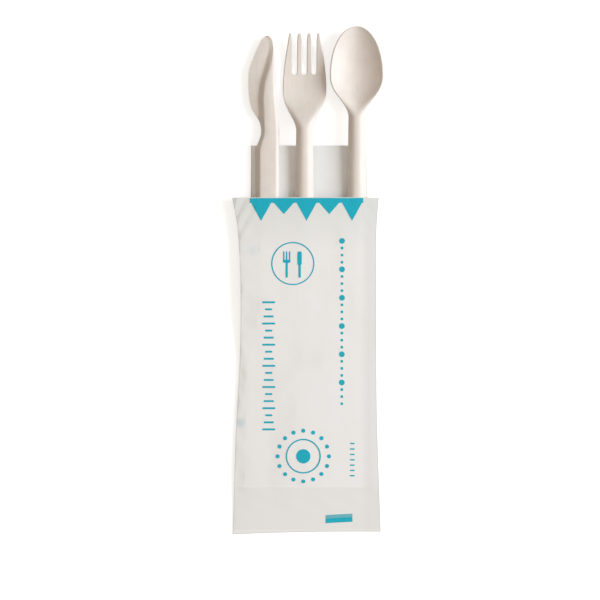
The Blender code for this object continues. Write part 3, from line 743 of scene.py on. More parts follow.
# The membrane's grids from coarse to fine, its passes on the finest, how much it is pulled
# along against across, and where it counts as beside the handles, as shares of the half width
LEVELS = (4, 2, 1)
PASSES, SOFT_PASSES = 260, 10
ALONG_PULL = 0.35
BESIDE_FROM, BESIDE_OVER = 0.70, 0.1
SAG_SPAN = 0.010

# How far past the napkin's sides and foot the film comes down, and over how much
PAST_SIDE, SIDE_FALL, PAST_FOOT, FOOT_FALL = 0.0015, 0.0012, 0.0016, 0.0014

# How far the pouch's sides have drawn in from its box, down the pouch as a share of its length
LEFT_KEYS = (
    (0.00, 0.0002), (0.07, 0.0030), (0.20, 0.0050), (0.38, 0.0054), (0.50, 0.0046),
    (0.64, 0.0030), (0.72, 0.0022), (0.87, 0.0012), (1.00, 0.0003),
)
RIGHT_KEYS = (
    (0.00, 0.0016), (0.07, 0.0028), (0.25, 0.0032), (0.45, 0.0030), (0.62, 0.0027),
    (0.75, 0.0020), (0.90, 0.0009), (1.00, 0.0002),
)


def pouch_sides(y):
    """The pouch's middle and half its width: flared at the mouth, drawn in below it, and wider
    again towards the foot."""
    down = np.clip((MOUTH_Y - y) / POUCH_LENGTH, 0.0, 1.0)
    left = POUCH_LOW[0] + through(LEFT_KEYS, down)
    right = POUCH_HIGH[0] - through(RIGHT_KEYS, down)
    return (left + right) / 2, (right - left) / 2


def held_up(height, top, over, past):
    """Raises the height to a handle's top over it, and lets that down past the handle's end."""
    top = mix(NAPKIN_HIGH[2], top, smooth(1.0 - past))
    return np.where(over & (past < 1.0), np.maximum(height, top), height)


def contents_height(x, y):
    """Top of what lies under the film on a grid, from the CAD's own boxes and the handles'
    arches: the napkin's flat top, and over each handle its upper line."""
    height = np.full(x.shape, 2 * settings().pouch.film)
    spread = settings().napkin.fan * (NAPKIN_HIGH[1] - y) / (NAPKIN_HIGH[1] - NAPKIN_LOW[1]) / 2
    middle = (NAPKIN_LOW[0] + NAPKIN_HIGH[0]) / 2
    reach = (NAPKIN_HIGH[0] - NAPKIN_LOW[0] - settings().napkin.fan) / 2 + spread
    inside = smooth((reach + PAST_SIDE - np.abs(x - middle)) / SIDE_FALL)
    inside = inside * smooth((y - NAPKIN_LOW[1] + PAST_FOOT) / FOOT_FALL)
    height = mix(height, NAPKIN_HIGH[2], inside)
    cutlery, knife, fall = settings().cutlery, settings().knife, settings().pouch.fall
    for low, high, form in ((FORK_LOW, FORK_HIGH, fork_form), (SPOON_LOW, SPOON_HIGH, spoon_form)):
        total = high[1] - low[1]
        along = np.clip(high[1] - y, 0.0, total - cutlery.end_round)
        half, edge, to_handle, _ = form(along, total)
        u = np.abs(x - (low[0] + high[0]) / 2) / half
        top = edge + cutlery.handle_rise * (1 - np.minimum(u, 1.0) ** ARCH_POWER)
        height = held_up(height, top, u < 1.0, (low[1] - y) / fall)
    total = KNIFE_HIGH[1] - KNIFE_LOW[1]
    along = np.clip(KNIFE_HIGH[1] - y, 0.0, total - cutlery.end_round)
    left, _, crest, right = knife_sides(along, total)
    across = x - (KNIFE_HIGH[0] - knife.width / 2)
    up = smooth((across - left) / (crest - left))
    down = np.clip((right - across) / knife.shoulder, 0.0, 1.0)
    top = KNIFE_LOW[2] + knife.rise * up * np.sqrt(1 - (1 - down) ** 2)
    return held_up(height, top, (across > left) & (across < right), (KNIFE_LOW[1] - y) / fall)


def fold_height(y):
    """How high the side folds lie: flat at the foot, lifted a little beside the napkin, and
    more beside the handles."""
    form = settings().pouch
    beside_napkin = smooth((y - FOOT_Y - form.weld) / 0.040)
    beside_handles = smooth((y - KNIFE_LOW[1] + 1.2 * form.fall) / (1.4 * form.fall))
    return form.fold_lift * beside_napkin + form.mouth_lift * beside_handles


def drawn_over(y_rows, u_columns, floor_height):
    """The membrane: each free point sinks to the mean of its neighbours and is stopped by what
    lies under it. Solved on a coarse grid first, then on finer ones. The folds and the foot
    are held, and the mouth is free."""
    form = settings().pouch
    held = fold_height(y_rows) + 2 * form.film
    beside = smooth((np.abs(u_columns) - BESIDE_FROM) / BESIDE_OVER)
    slack = mix(form.sag, -form.bulge, beside) * 8 / SAG_SPAN**2
    film = None
    for level in LEVELS:
        under = floor_height[::level, ::level]
        if film is None:
            film = under.copy()
        else:
            rows = column(np.linspace(0, film.shape[0] - 1, under.shape[0]))
            film = between(film, rows, np.linspace(0, film.shape[1] - 1, under.shape[1]))
        step_x = (u_columns[level] - u_columns[0]) * (POUCH_HIGH[0] - POUCH_LOW[0]) / 2
        step_y = y_rows[level] - y_rows[0]
        along_weight = ALONG_PULL * (step_x / step_y) ** 2
        for _ in range(PASSES * level):
            film[-1] = film[-2]
            across = film[1:-1, :-2] + film[1:-1, 2:]
            length_way = film[:-2, 1:-1] + film[2:, 1:-1]
            pulled = across + along_weight * length_way - slack[::level][1:-1] * step_x**2
            film[1:-1, 1:-1] = pulled / (2 + 2 * along_weight)
            np.maximum(film, under, out=film)
            film[:, 0] = film[:, -1] = held[::level]
            film[0] = held[0]
        film[-1] = film[-2]
    return film


def softened(height, passes):
    """Each inner point moved to the binomial mean of its neighbours, across and along."""
    for _ in range(passes):
        height = height.copy()
        height[:, 1:-1] = (height[:, :-2] + 2 * height[:, 1:-1] + height[:, 2:]) / 4
        height[1:-1] = (height[:-2] + 2 * height[1:-1] + height[2:]) / 4
    return height


def film_field():
    """Heights of the front film's outer face over rows of y and columns of u, the place across
    as a share of the pouch's half width, with creases and ripples."""
    form = settings().pouch
    y_rows = np.linspace(FOOT_Y, MOUTH_Y, FILM_ROWS)
    u_columns = np.linspace(-1.0, 1.0, FILM_COLUMNS)
    middle, half = pouch_sides(y_rows)
    x = column(middle) + column(half) * u_columns
    y = np.broadcast_to(column(y_rows), x.shape)
    under = contents_height(x, y) + form.clearance + form.film
    under[y < FOOT_Y + form.weld] = 2 * form.film
    film = softened(drawn_over(y_rows, u_columns, under), SOFT_PASSES)
    free = smooth((film - under) / 0.0006)
    side = 1.0 - np.abs(u_columns)[None, :]
    to_mouth = smooth(1.0 - (MOUTH_Y - y) / form.crease_length)
    fan = np.sin((x * np.sign(x) * 0.9 + y * 0.55) * 820.0 + 1.3 * np.sign(x))
    beside = smooth(side / 0.05) * smooth(1.0 - side / 0.45)
    film = film + form.crease * fan * to_mouth * beside * free
    ripples = (
        np.sin(310.0 * x + 40.0 * y + 2.0 * np.sin(60.0 * y))
        + np.sin(190.0 * y - 95.0 * x + 1.7 * np.sin(110.0 * x))
        + 0.7 * np.sin(520.0 * y + 260.0 * x + 1.1 * np.sin(80.0 * y))
    )
    above_weld = smooth((y - FOOT_Y - form.weld) / 0.006)
    film = film + form.ripple * ripples * (0.35 + free) * smooth(side / 0.04) * above_weld
    film = np.maximum(film, 2 * form.film)
    return {"y": y_rows, "u": u_columns, "middle": middle, "half": half, "z": film}


def bowed(y, u):
    """Moves the foot's edge in at its middle and at the right, and lets that die out up the
    pouch."""
    form = settings().pouch
    near_foot = smooth(1.0 - (y - FOOT_Y) / (0.25 * POUCH_LENGTH))
    return y + (form.foot_bow * (1.0 - u**2) + form.foot_slant * (1.0 + u) / 2) * near_foot


def on_film(field, x, y):
    """Points of the front film at places given by x and y: its height is read from the field
    between the four nearest grid points, in proportion."""
    rows = np.clip((y - FOOT_Y) / POUCH_LENGTH, 0.0, 1.0) * (FILM_ROWS - 1)
    middle, half = pouch_sides(y)
    u = np.clip((x - middle) / half, -1.0, 1.0)
    height = between(field["z"], rows, (u + 1) / 2 * (FILM_COLUMNS - 1))
    return np.stack([x, bowed(y, u), height], axis=-1)


def back_rise(u):
    """How far the back film has risen to the fold, as a share: only at its sides."""
    return smooth((np.abs(u) - BACK_FLAT) / (1.0 - BACK_FLAT))


def pouch_rings(field, inside):
    """Rings of the tube: across the front film and back across the back, which lies flat and
    rises to the folds at its sides. The inner skin is the same, a film's thickness further in."""
    film = settings().pouch.film if inside else 0.0
    u = field["u"]
    middle, half = column(field["middle"]), column(field["half"] - film)
    back_u = u[::-BACK_STEP][1:-1]
    rising = column(fold_height(field["y"]))
    front_z = np.maximum(field["z"] - film, rising * back_rise(u) + 1.3 * film)
    back_z = rising * back_rise(back_u) + film
    front_x, back_x = middle + half * u, middle + half * back_u
    x, z = np.concatenate([front_x, back_x], axis=1), np.concatenate([front_z, back_z], axis=1)
    ring_u = np.concatenate([u, back_u])
    y = bowed(np.broadcast_to(column(field["y"]), x.shape), ring_u)
    return np.stack([x, y, z], axis=-1)


def tube_cap():
    """Faces that close a ring of the tube: each joins a step of the back to the front above it."""
    last = FILM_COLUMNS - 1
    back = np.concatenate([[last], np.arange(last + 1, last + last // BACK_STEP), [0]])[::-1]
    return [
        np.concatenate([np.arange(start, start + BACK_STEP + 1), back[[number + 1, number]]])
        for number, start in enumerate(range(0, last, BACK_STEP))
    ]


def make_pouch(field):
    """Outer skin from foot to mouth, round the mouth's edge, and back inside to the weld."""
    sealed = int(math.ceil(settings().pouch.weld / POUCH_LENGTH * (FILM_ROWS - 1))) + 1
    outer, inner = pouch_rings(field, False), pouch_rings(field, True)
    rings = np.concatenate([outer, inner[sealed:][::-1]])
    cap = tube_cap()
    cap[0], cap[-1] = cap[0][:-1], np.delete(cap[-1], -2)
    pouch = lofts("pouch_sheet", [rings], 60.0, cap)
    ring_u = np.concatenate([field["u"], field["u"][::-BACK_STEP][1:-1]])
    rows = np.concatenate([np.arange(FILM_ROWS), np.arange(sealed, FILM_ROWS)[::-1]])
    # How far each point lies from the side folds and the foot's edge: the film's material paints a
    # darker shade along them
    to_side = column(field["half"][rows]) * (1 - np.abs(ring_u))
    to_edge = np.minimum(to_side, column(field["y"][rows] - FOOT_Y))
    pouch.data.attributes.new("to_edge", "FLOAT", "POINT").data.foreach_set("value", to_edge.ravel())
    return pouch


# Print: plain shapes laid on the film, each a grid over two parameters

PRINT_STEP = 0.00045


def steps(size):
    """Enough points over a size for the print to follow the film."""
    return max(3, int(math.ceil(size / PRINT_STEP)) + 1)


def disc(x, y, radius):
    """A square grid bent to a circle: across u sqrt(1 - v²/2), up v sqrt(1 - u²/2)."""
    u = np.linspace(-1.0, 1.0, max(13, steps(2 * radius)))
    v = column(u)
    return x + radius * u * np.sqrt(1 - v**2 / 2), y + radius * v * np.sqrt(1 - u**2 / 2)


def ring(x, y, radius, stroke):
    """Place across the stroke by angle."""
    out = radius + stroke * np.linspace(-0.5, 0.5, 3)
    turn = np.linspace(0.0, 2 * math.pi, steps(2 * math.pi * radius))
    return x + column(out) * np.cos(turn), y + column(out) * np.sin(turn)


def bar(x, y, width, tall, rounding=1.0):
    """A bar with rounded ends: place along by place across, narrowed at both ends."""
    total, reach = max(width, tall), min(width, tall) / 2 * rounding
    straight = np.linspace(reach, total - reach, steps(total - 2 * reach))
    end = np.linspace(0.0, reach, 7)
    along = np.concatenate([end[:-1], straight, (total - end[::-1])[1:]])
    from_end = np.minimum(along, total - along)
    narrow = np.sqrt(np.maximum(1 - (1 - np.minimum(from_end / reach, 1.0)) ** 2, 0.001))
    across = column(np.linspace(-0.5, 0.5, steps(min(width, tall)))) * min(width, tall) * narrow
    along = np.broadcast_to(along - total / 2, across.shape)
    return (x + across, y + along) if tall > width else (x + along, y + across)


def bunting(y, reach, band, depths):
    """A band with a pennant for each depth under it: place across by share of the depth there,
    which falls off in proportion from a pennant's tip to its sides."""
    width = 2 * reach / len(depths)
    across = np.linspace(-reach, reach, len(depths) * 32 + 1)
    place = (across + reach) / width
    number = np.minimum(place.astype(int), len(depths) - 1)
    hangs = np.clip(1.0 - np.abs(place - number - 0.5) / 0.44, 0.0, 1.0)
    depth = band + np.array(depths)[number] * hangs
    down = column(np.linspace(0.0, 1.0, steps(band + max(depths))))
    return across + 0 * down, y - depth * down


def sheets(name, patches, lift, thickness):
    """One object of the given grids of points, lifted off the film and given a thickness."""
    points, quads, offset = [], [], 0
    for patch in patches:
        closed = np.allclose(patch[:, 0], patch[:, -1])
        patch = patch[:, :-1] if closed else patch
        rows, columns, _ = patch.shape
        points.append(patch.reshape(-1, 3) + [0.0, 0.0, lift])
        quads.append(grid_quads(rows, columns, closed, offset))
        offset += rows * columns
    mesh = mesh_from(name, np.concatenate(points), np.concatenate(quads))
    up = np.empty(len(mesh.polygons) * 3)
    mesh.polygons.foreach_get("normal", up)
    downward = up.reshape(-1, 3)[:, 2] < 0
    quads = np.concatenate(quads)
    quads[downward] = quads[downward][:, ::-1]
    bpy.data.meshes.remove(mesh)
    mesh = mesh_from(name, np.concatenate(points), quads)
    mesh.shade_smooth()
    piece = linked(name, mesh)
    ink = piece.modifiers.new("ink", "SOLIDIFY")
    ink.thickness = thickness
    ink.offset = -1.0
    return piece


# Places of the print: the badge and its radius, the wheel and its radius, and the mark
BADGE_X, BADGE_Y, BADGE = -0.0085, 0.0640, 0.0130
WHEEL_X, WHEEL_Y, WHEEL = -0.0020, -0.0560, 0.0160
MARK_X, MARK_Y, MARK_WIDTH = 0.0203, -0.0962, 0.0168
MARK_SLANT = 0.05
PRINT_PITCH = 0.0044


def slanted(x, y):
    """The cutter's mark turned a little, the way the foot's edge slants."""
    return x, y + MARK_SLANT * (x - MARK_X)


def front_shapes():
    """The print of the front: bunting at the mouth, a badge with a fork and a knife, a ladder
    of dashes, a line of dots, a wheel of dots, and the cutter's mark at the foot."""
    shapes = [bunting(MOUTH_Y - 0.0004, 0.0352, 0.0030, (0.0112, 0.0070, 0.0112, 0.0070, 0.0112))]
    shapes.append(ring(BADGE_X, BADGE_Y, BADGE, 0.0008))
    fork_x, knife_x = BADGE_X - 0.0038, BADGE_X + 0.0042
    for tine in (-0.0018, 0.0, 0.0018):
        shapes.append(bar(fork_x + tine, BADGE_Y + 0.0046, 0.0009, 0.0060))
    shapes.append(bar(fork_x, BADGE_Y + 0.0014, 0.0048, 0.0020, 0.9))
    shapes.append(bar(fork_x, BADGE_Y - 0.0040, 0.0014, 0.0096))
    shapes.append(bar(knife_x, BADGE_Y + 0.0032, 0.0027, 0.0088, 0.9))
    shapes.append(bar(knife_x, BADGE_Y - 0.0046, 0.0015, 0.0086))
    for number in range(19):
        wide = (0.0082, 0.0046, 0.0064)[number % 3]
        shapes.append(bar(-0.0235, 0.0400 - PRINT_PITCH * number, wide, 0.0012))
    for number in range(24):
        radius = 0.0018 if number % 4 == 0 else 0.0009
        shapes.append(disc(0.0220, 0.0780 - PRINT_PITCH * number, radius))
    for turn in np.linspace(0.0, 2 * math.pi, 16, endpoint=False):
        shapes.append(disc(WHEEL_X + WHEEL * math.cos(turn), WHEEL_Y + WHEEL * math.sin(turn), 0.0013))
    shapes.append(ring(WHEEL_X, WHEEL_Y, 0.0105, 0.0009))
    shapes.append(disc(WHEEL_X, WHEEL_Y, 0.0045))
    for number in range(7):
        shapes.append(bar(0.0285, -0.0480 - 0.0034 * number, 0.0030, 0.0009))
    shapes.append(slanted(*bar(MARK_X, MARK_Y - 0.0014, MARK_WIDTH, 0.0030, 0.02)))
    return shapes


def pale_shapes():
    """The lighter half of the cutter's mark."""
    return [slanted(*bar(MARK_X, MARK_Y + 0.00125, MARK_WIDTH, 0.0022, 0.02))]


# Finishes

def new_material(name, base, roughness):
    """A material of one Principled shader, and that shader."""
    made = bpy.data.materials.new(name)
    made.use_nodes = True
    shader = made.node_tree.nodes["Principled BSDF"]
    shader.inputs["Base Color"].default_value = (*base, 1.0)
    shader.inputs["Roughness"].default_value = roughness
    return made, shader


class Wires:
    """Adds nodes to a material or a world and joins them, all fed by the same coordinates."""

    def __init__(self, made, coordinates="Object"):
        self.tree = made.node_tree
        self.place = self.tree.nodes.new("ShaderNodeTexCoord").outputs[coordinates]

    def node(self, kind, inputs=(), **choices):
        """A node with its choices set, each input joined to a socket or set to a value."""
        node = self.tree.nodes.new(kind)
        for name, value in choices.items():
            setattr(node, name, value)
        for name, value in dict(inputs).items():
            if isinstance(value, bpy.types.NodeSocket):
                self.link(value, node.inputs[name])
            else:
                node.inputs[name].default_value = value
        return node

    def link(self, value, socket):
        self.tree.links.new(value, socket)

    def maths(self, operation, *values, kind="ShaderNodeMath"):
        """What one sum with numbers or vectors comes to."""
        return self.node(kind, enumerate(values), operation=operation).outputs[0]

    def stretched(self, scale):
        """The coordinates multiplied by a factor each, which draws a pattern out."""
        return self.node("ShaderNodeMapping", {"Vector": self.place, "Scale": scale}).outputs["Vector"]

    def noise(self, scale, detail, vector=None, roughness=0.5):
        """Cloudy noise round 0.5, at a scale of so many lumps to a metre."""
        inputs = {"Vector": vector or self.place, "Scale": scale, "Detail": detail}
        inputs["Roughness"] = roughness
        return self.node("ShaderNodeTexNoise", inputs).outputs["Fac"]

    def ramp(self, factor, stops):
        """A colour ramp through (place, colour) stops."""
        node = self.node("ShaderNodeValToRGB", {"Fac": factor})
        elements = node.color_ramp.elements
        while len(elements) < len(stops):
            elements.new(0.5)
        for element, (at, shade) in zip(elements, stops):
            element.position = at
            element.color = (*shade, 1.0)
        return node.outputs["Color"]

    def span(self, value, low, high, to_low, to_high):
        """The value carried from the range low to high onto the range to_low to to_high."""
        inputs = {"Value": value, "From Min": low, "From Max": high}
        inputs.update({"To Min": to_low, "To Max": to_high})
        return self.node("ShaderNodeMapRange", inputs).outputs["Result"]

    def mixed(self, factor, first, second):
        """A colour that goes from the first to the second as the factor goes from 0 to 1."""
        inputs = {"Factor": factor, "A": first, "B": (*second, 1.0)}
        return self.node("ShaderNodeMix", inputs, data_type="RGBA").outputs["Result"]

    def bump(self, height, strength, distance, normal=None):
        """The normal tilted by a height pattern, over another one if it is given."""
        inputs = {"Height": height, "Strength": strength, "Distance": distance}
        if normal:
            inputs["Normal"] = normal
        return self.node("ShaderNodeBump", inputs).outputs["Normal"]

    def evened(self, steepness):
        """The surface's normal with its upright part made larger, so that slopes are shaded as
        if they were less steep by that factor."""
        kind, factors = "ShaderNodeVectorMath", (1.0, 1.0, 1.0 / steepness)
        normal = self.node("ShaderNodeNewGeometry").outputs["Normal"]
        return self.maths("NORMALIZE", self.maths("MULTIPLY", normal, factors, kind=kind), kind=kind)

    def plainly_seen(self):
        """1 for rays from the camera, off glossy things and through clear ones, else 0."""
        rays = self.node("ShaderNodeLightPath").outputs
        seen = self.maths("MAXIMUM", rays["Is Camera Ray"], rays["Is Glossy Ray"])
        return self.maths("MAXIMUM", seen, rays["Is Transmission Ray"])


def shade_of(base, factor):
    """The colour made lighter or darker, up to 1."""
    return tuple(min(1.0, part * factor) for part in base)


def cream_plastic():
    """Cream bioplastic: soft mottling from the filler, faint flow lines along the moulding,
    sparse fine specks, and a satin skin whose gloss varies a little."""
    sizes = settings().cutlery
    base = tuple(sizes.cream)
    made, shader = new_material("cream_bioplastic_skin", base, sizes.roughness)
    wires = Wires(made)
    mottle = wires.noise(160.0, 5.0)
    flow = wires.noise(60.0, 3.0, wires.stretched((9.0, 0.7, 9.0)))
    shades = ((0.0, shade_of(base, 0.965)), (0.5, base), (1.0, shade_of(base, 1.03)))
    tint = wires.ramp(wires.span(wires.maths("ADD", mottle, flow), 0.7, 1.3, 0.0, 1.0), shades)
    grains = wires.node("ShaderNodeTexVoronoi", {"Vector": wires.place, "Scale": 900.0})
    specks = wires.span(grains.outputs["Distance"], 0.10, 0.16, 0.10, 0.0)
    wires.link(wires.mixed(specks, tint, shade_of(base, 0.55)), shader.inputs["Base Color"])
    matt = wires.span(flow, 0.3, 0.7, sizes.roughness - 0.05, sizes.roughness + 0.07)
    wires.link(matt, shader.inputs["Roughness"])
    skin = wires.bump(wires.noise(900.0, 3.0), 0.25, 0.00003)
    wires.link(wires.bump(flow, 0.35, 0.00008, skin), shader.inputs["Normal"])
    shader.inputs["Specular IOR Level"].default_value = 0.28
    shader.inputs["Subsurface Weight"].default_value = 0.12
    shader.inputs["Subsurface Radius"].default_value = (1.0, 0.65, 0.4)
    shader.inputs["Subsurface Scale"].default_value = 0.0015
    return made


def tissue_paper():
    """Two-ply tissue: crepe across the leaf, cloudy fibres and a fully matt face."""
    base = tuple(settings().napkin.white)
    made, shader = new_material("napkin_tissue", base, 0.95)
    wires = Wires(made)
    shades = ((0.3, shade_of(base, 0.975)), (0.55, base), (0.8, shade_of(base, 1.015)))
    wires.link(wires.ramp(wires.noise(120.0, 6.0), shades), shader.inputs["Base Color"])
    crepe = wires.noise(1.0, 4.0, wires.stretched((500.0, 2600.0, 500.0)), 0.6)
    fibres = wires.noise(2400.0, 3.0)
    normal = wires.bump(crepe, 0.35, 0.00006)
    wires.link(wires.bump(fibres, 0.3, 0.00003, normal), shader.inputs["Normal"])
    shader.inputs["Sheen Weight"].default_value = 0.15
    return made


# What is left of a slope's shading, once light has scattered within the film
SCATTER = 0.12

# Painted shade: from where to where the film is darkened beyond the napkin's right side, where
# no napkin lies behind it; from where to where, as distances below the mouth, a grey painted
# shade falls towards the mouth, and the factors of that shade's colour; and how wide the
# painted shade along the side folds and the foot's edge is
MARGIN_SHADE_FROM, MARGIN_SHADE_TO = 0.0335, 0.0385
MOUTH_SHADE_FROM, MOUTH_SHADE_TO = 0.034, 0.006
MOUTH_SHADE = (0.85, 0.885, 0.87)
EDGE_SHADE_WIDTH = 0.0009

# Spots of print on the pouch's back: x, y, radius and how much of the ink shows through
BACK_SPOTS = ((-0.0330, 0.0720, 0.0070, 0.34), (-0.0412, -0.0350, 0.0042, 0.26))
SPOT_Z = 0.002


def tinted(base, factors):
    """The colour with a factor for each of its parts."""
    return tuple(part * factor for part, factor in zip(base, factors))


def milky_film():
    """Milky film: faintly cloudy, with fine drawing lines along the tube and a whiter weld
    across the foot. Light that scatters within the film evens out its shading, so its slopes
    are shaded as if they were less steep. Shade is painted into its colour below the napkin's
    foot and beyond its right side, where no napkin lies behind it, towards the mouth, and along
    its side folds and the foot's edge; a thin painted highlight runs along the napkin's foot.
    Two spots of print on the back only just show through."""
    form = settings().pouch
    base = tuple(form.milk)
    made, shader = new_material("pouch_milky_film", base, 0.42)
    wires = Wires(made)
    across, along, _ = wires.node("ShaderNodeSeparateXYZ", {"Vector": wires.place}).outputs
    clouds = wires.noise(38.0, 4.0)
    bands = wires.noise(1.0, 3.0, wires.stretched((75.0, 16.0, 75.0)))
    darkest, lightest = tinted(base, (0.955, 0.95, 0.945)), tinted(base, (1.0, 1.01, 1.02))
    cloudy = wires.span(wires.maths("ADD", clouds, bands), 0.72, 1.28, 0.0, 1.0)
    tint = wires.ramp(cloudy, ((0.0, darkest), (0.5, base), (1.0, lightest)))
    napkin_foot = float(NAPKIN_LOW[1])
    from_napkin = wires.maths("ABSOLUTE", wires.maths("SUBTRACT", along, napkin_foot))
    to_edge = wires.node("ShaderNodeAttribute", attribute_name="to_edge").outputs["Fac"]

    # Tints, painted shade and a painted highlight laid over each other: what each goes by, from
    # where to where, from how much of it to how much, and its colour
    tints_and_painted_light = [
        # Painted shade below the napkin's foot, where no napkin lies behind the film
        (along, napkin_foot + 0.0006, napkin_foot - 0.0010, 0.0, 0.85, shade_of(base, 0.945)),
        # Painted highlight: a thin lighter line along the napkin's foot
        (from_napkin, 0.0001, 0.0010, 0.55, 0.0, shade_of(base, 1.035)),
        # Painted shade beyond the napkin's right side
        (across, MARGIN_SHADE_FROM, MARGIN_SHADE_TO, 0.0, 0.8, shade_of(base, 0.90)),
        # Painted shade that greys the film towards the mouth
        (along, MOUTH_Y - MOUTH_SHADE_FROM, MOUTH_Y - MOUTH_SHADE_TO, 0.0, 0.75, tinted(base, MOUTH_SHADE)),
    ]
    for spot_x, spot_y, radius, strength in BACK_SPOTS:
        ends = {0: wires.place, 1: (spot_x, spot_y, SPOT_Z)}
        away = wires.node("ShaderNodeVectorMath", ends, operation="DISTANCE").outputs["Value"]
        tints_and_painted_light.append((away, radius, 0.25 * radius, 0.0, strength, tuple(form.ink)))
    weld_ends = (FOOT_Y + 1.6 * form.weld, FOOT_Y + 0.9 * form.weld)
    tints_and_painted_light.append((along, *weld_ends, 0.0, 0.7, shade_of(base, 1.04)))
    # Painted shade: a darker line along the side folds and the foot's edge
    tints_and_painted_light.append((to_edge, 0.0, EDGE_SHADE_WIDTH, 0.8, 0.0, shade_of(base, 0.72)))
    for by, start, end, at_start, at_end, over in tints_and_painted_light:
        tint = wires.mixed(wires.span(by, start, end, at_start, at_end), tint, over)
    wires.link(tint, shader.inputs["Base Color"])
    lines = wires.noise(1.0, 3.0, wires.stretched((900.0, 14.0, 900.0)))
    crinkle = wires.noise(210.0, 5.0, roughness=0.6)
    normal = wires.bump(lines, 0.2, 0.00003, wires.evened(SCATTER))
    wires.link(wires.bump(crinkle, 0.25, 0.00012, normal), shader.inputs["Normal"])
    wires.link(wires.span(crinkle, 0.3, 0.7, 0.36, 0.48), shader.inputs["Roughness"])
    shader.inputs["Alpha"].default_value = form.alpha
    shader.inputs["Specular IOR Level"].default_value = 0.35
    return made


def printed_ink(name, base):
    """Ink in the film's surface: slightly uneven cover, with the film's own satin gloss."""
    made, shader = new_material(name, base, 0.4)
    wires = Wires(made)
    shades = ((0.3, shade_of(base, 0.95)), (0.55, base), (0.75, shade_of(base, 1.04)))
    wires.link(wires.ramp(wires.noise(420.0, 5.0), shades), shader.inputs["Base Color"])
    crinkle = wires.noise(210.0, 5.0, roughness=0.6)
    wires.link(wires.bump(crinkle, 0.25, 0.00012, wires.evened(SCATTER)), shader.inputs["Normal"])
    shader.inputs["Specular IOR Level"].default_value = 0.35
    return made


# Studio: the camera's sensor in millimetres, the picture's width, and where the lamp looks
SENSOR_WIDTH, PICTURE_PIXELS, CLIP_START = 36.0, 600, 0.05
KEY_AIM = (0.0, 0.05, 0.0)

# The table: half its side, how far it lies below the set, and its own light
TABLE_SIDE, TABLE_DROP = 3.0, 0.00015
TABLE_LIGHT = (0.66, 0.69)


def sky(world, fill, top_light):
    """Warm fill light, to which light from above is added by the square of the height. The
    camera, reflections and what shows through clear things see plain white."""
    wires = Wires(world, "Generated")
    height = wires.node("ShaderNodeSeparateXYZ", {"Vector": wires.place}).outputs["Z"]
    square = wires.node("ShaderNodeMath", {0: height, 1: 2.0}, operation="POWER", use_clamp=True)
    above = tuple(low + more for low, more in zip(fill, top_light))
    light = wires.mixed(square.outputs[0], (*fill, 1.0), above)
    shade = wires.mixed(wires.plainly_seen(), light, (1.0, 1.0, 1.0))
    wires.link(shade, world.node_tree.nodes["Background"].inputs["Color"])


def table_top():
    """A white table that looks white to the camera and in reflections, and keeps shadows: its
    own light for those rays lifts it to white where the lamp reaches it."""
    made, shader = new_material("table_white", tuple(settings().studio.table), 0.8)
    wires = Wires(made)
    grain = wires.span(wires.noise(50.0, 3.0), 0.0, 1.0, *TABLE_LIGHT)
    shader.inputs["Emission Color"].default_value = (1.0, 1.0, 1.0, 1.0)
    wires.link(wires.maths("MULTIPLY", wires.plainly_seen(), grain), shader.inputs["Emission Strength"])
    return made


def finish(piece, material, slot, *nodes):
    """Gives a piece its material and its body, and hides the CAD nodes that it stands for."""
    piece.data.materials.append(material)
    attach(piece, "root")
    if nodes:
        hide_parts(*nodes)


def material_once(name, make):
    """The material of that name, made the first time that it is wanted."""
    return bpy.data.materials.get(name) or make()


def add_cutlery(piece, node):
    """Finishes a piece of cutlery in the bioplastic that the three of them share."""
    finish(piece, material_once("cream_bioplastic_skin", cream_plastic), "cream_bioplastic", node)
    return {"FINISHED"}


# Operators

class CUTLERY_OT_spoon(bpy.types.Operator):
    """Add the spoon: a dished bowl on an arched handle, open underneath"""

    bl_idname = "cutlery.add_spoon"
    bl_label = "Add Spoon"

    def execute(self, context):
        return add_cutlery(make_spoon(), "spoon")


class CUTLERY_OT_fork(bpy.types.Operator):
    """Add the fork: four tines, a dished head and an arched handle, open underneath"""

    bl_idname = "cutlery.add_fork"
    bl_label = "Add Fork"

    def execute(self, context):
        return add_cutlery(make_fork(), "fork")


class CUTLERY_OT_knife(bpy.types.Operator):
    """Add the knife: a toothed blade beside a rib that grows into the handle"""

    bl_idname = "cutlery.add_knife"
    bl_label = "Add Knife"

    def execute(self, context):
        return add_cutlery(make_knife(), "knife")


class CUTLERY_OT_napkin(bpy.types.Operator):
    """Add the napkin: one sheet of tissue folded once lengthwise and twice across"""

    bl_idname = "cutlery.add_napkin"
    bl_label = "Add Napkin"

    def execute(self, context):
        finish(make_napkin(), tissue_paper(), "napkin_paper", "napkin")
        return {"FINISHED"}


class CUTLERY_OT_pouch(bpy.types.Operator):
    """Add the pouch: a tube of milky film drawn over the handles and the napkin, and its print"""

    bl_idname = "cutlery.add_pouch"
    bl_label = "Add Pouch and Print"

    def execute(self, context):
        form = settings().pouch
        field = film_field()
        finish(make_pouch(field), milky_film(), "pouch_film", "pouch")
        ink, pale_ink = printed_ink("teal_ink", form.ink), printed_ink("pale_teal_ink", form.pale_ink)
        prints = (("front_print", front_shapes(), ink), ("front_print_pale", pale_shapes(), pale_ink))
        for name, shapes, material in prints:
            patches = [on_film(field, *shape) for shape in shapes]
            finish(sheets(name, patches, 1.5 * form.ink_height, form.ink_height), material, "pouch_film")
        return {"FINISHED"}


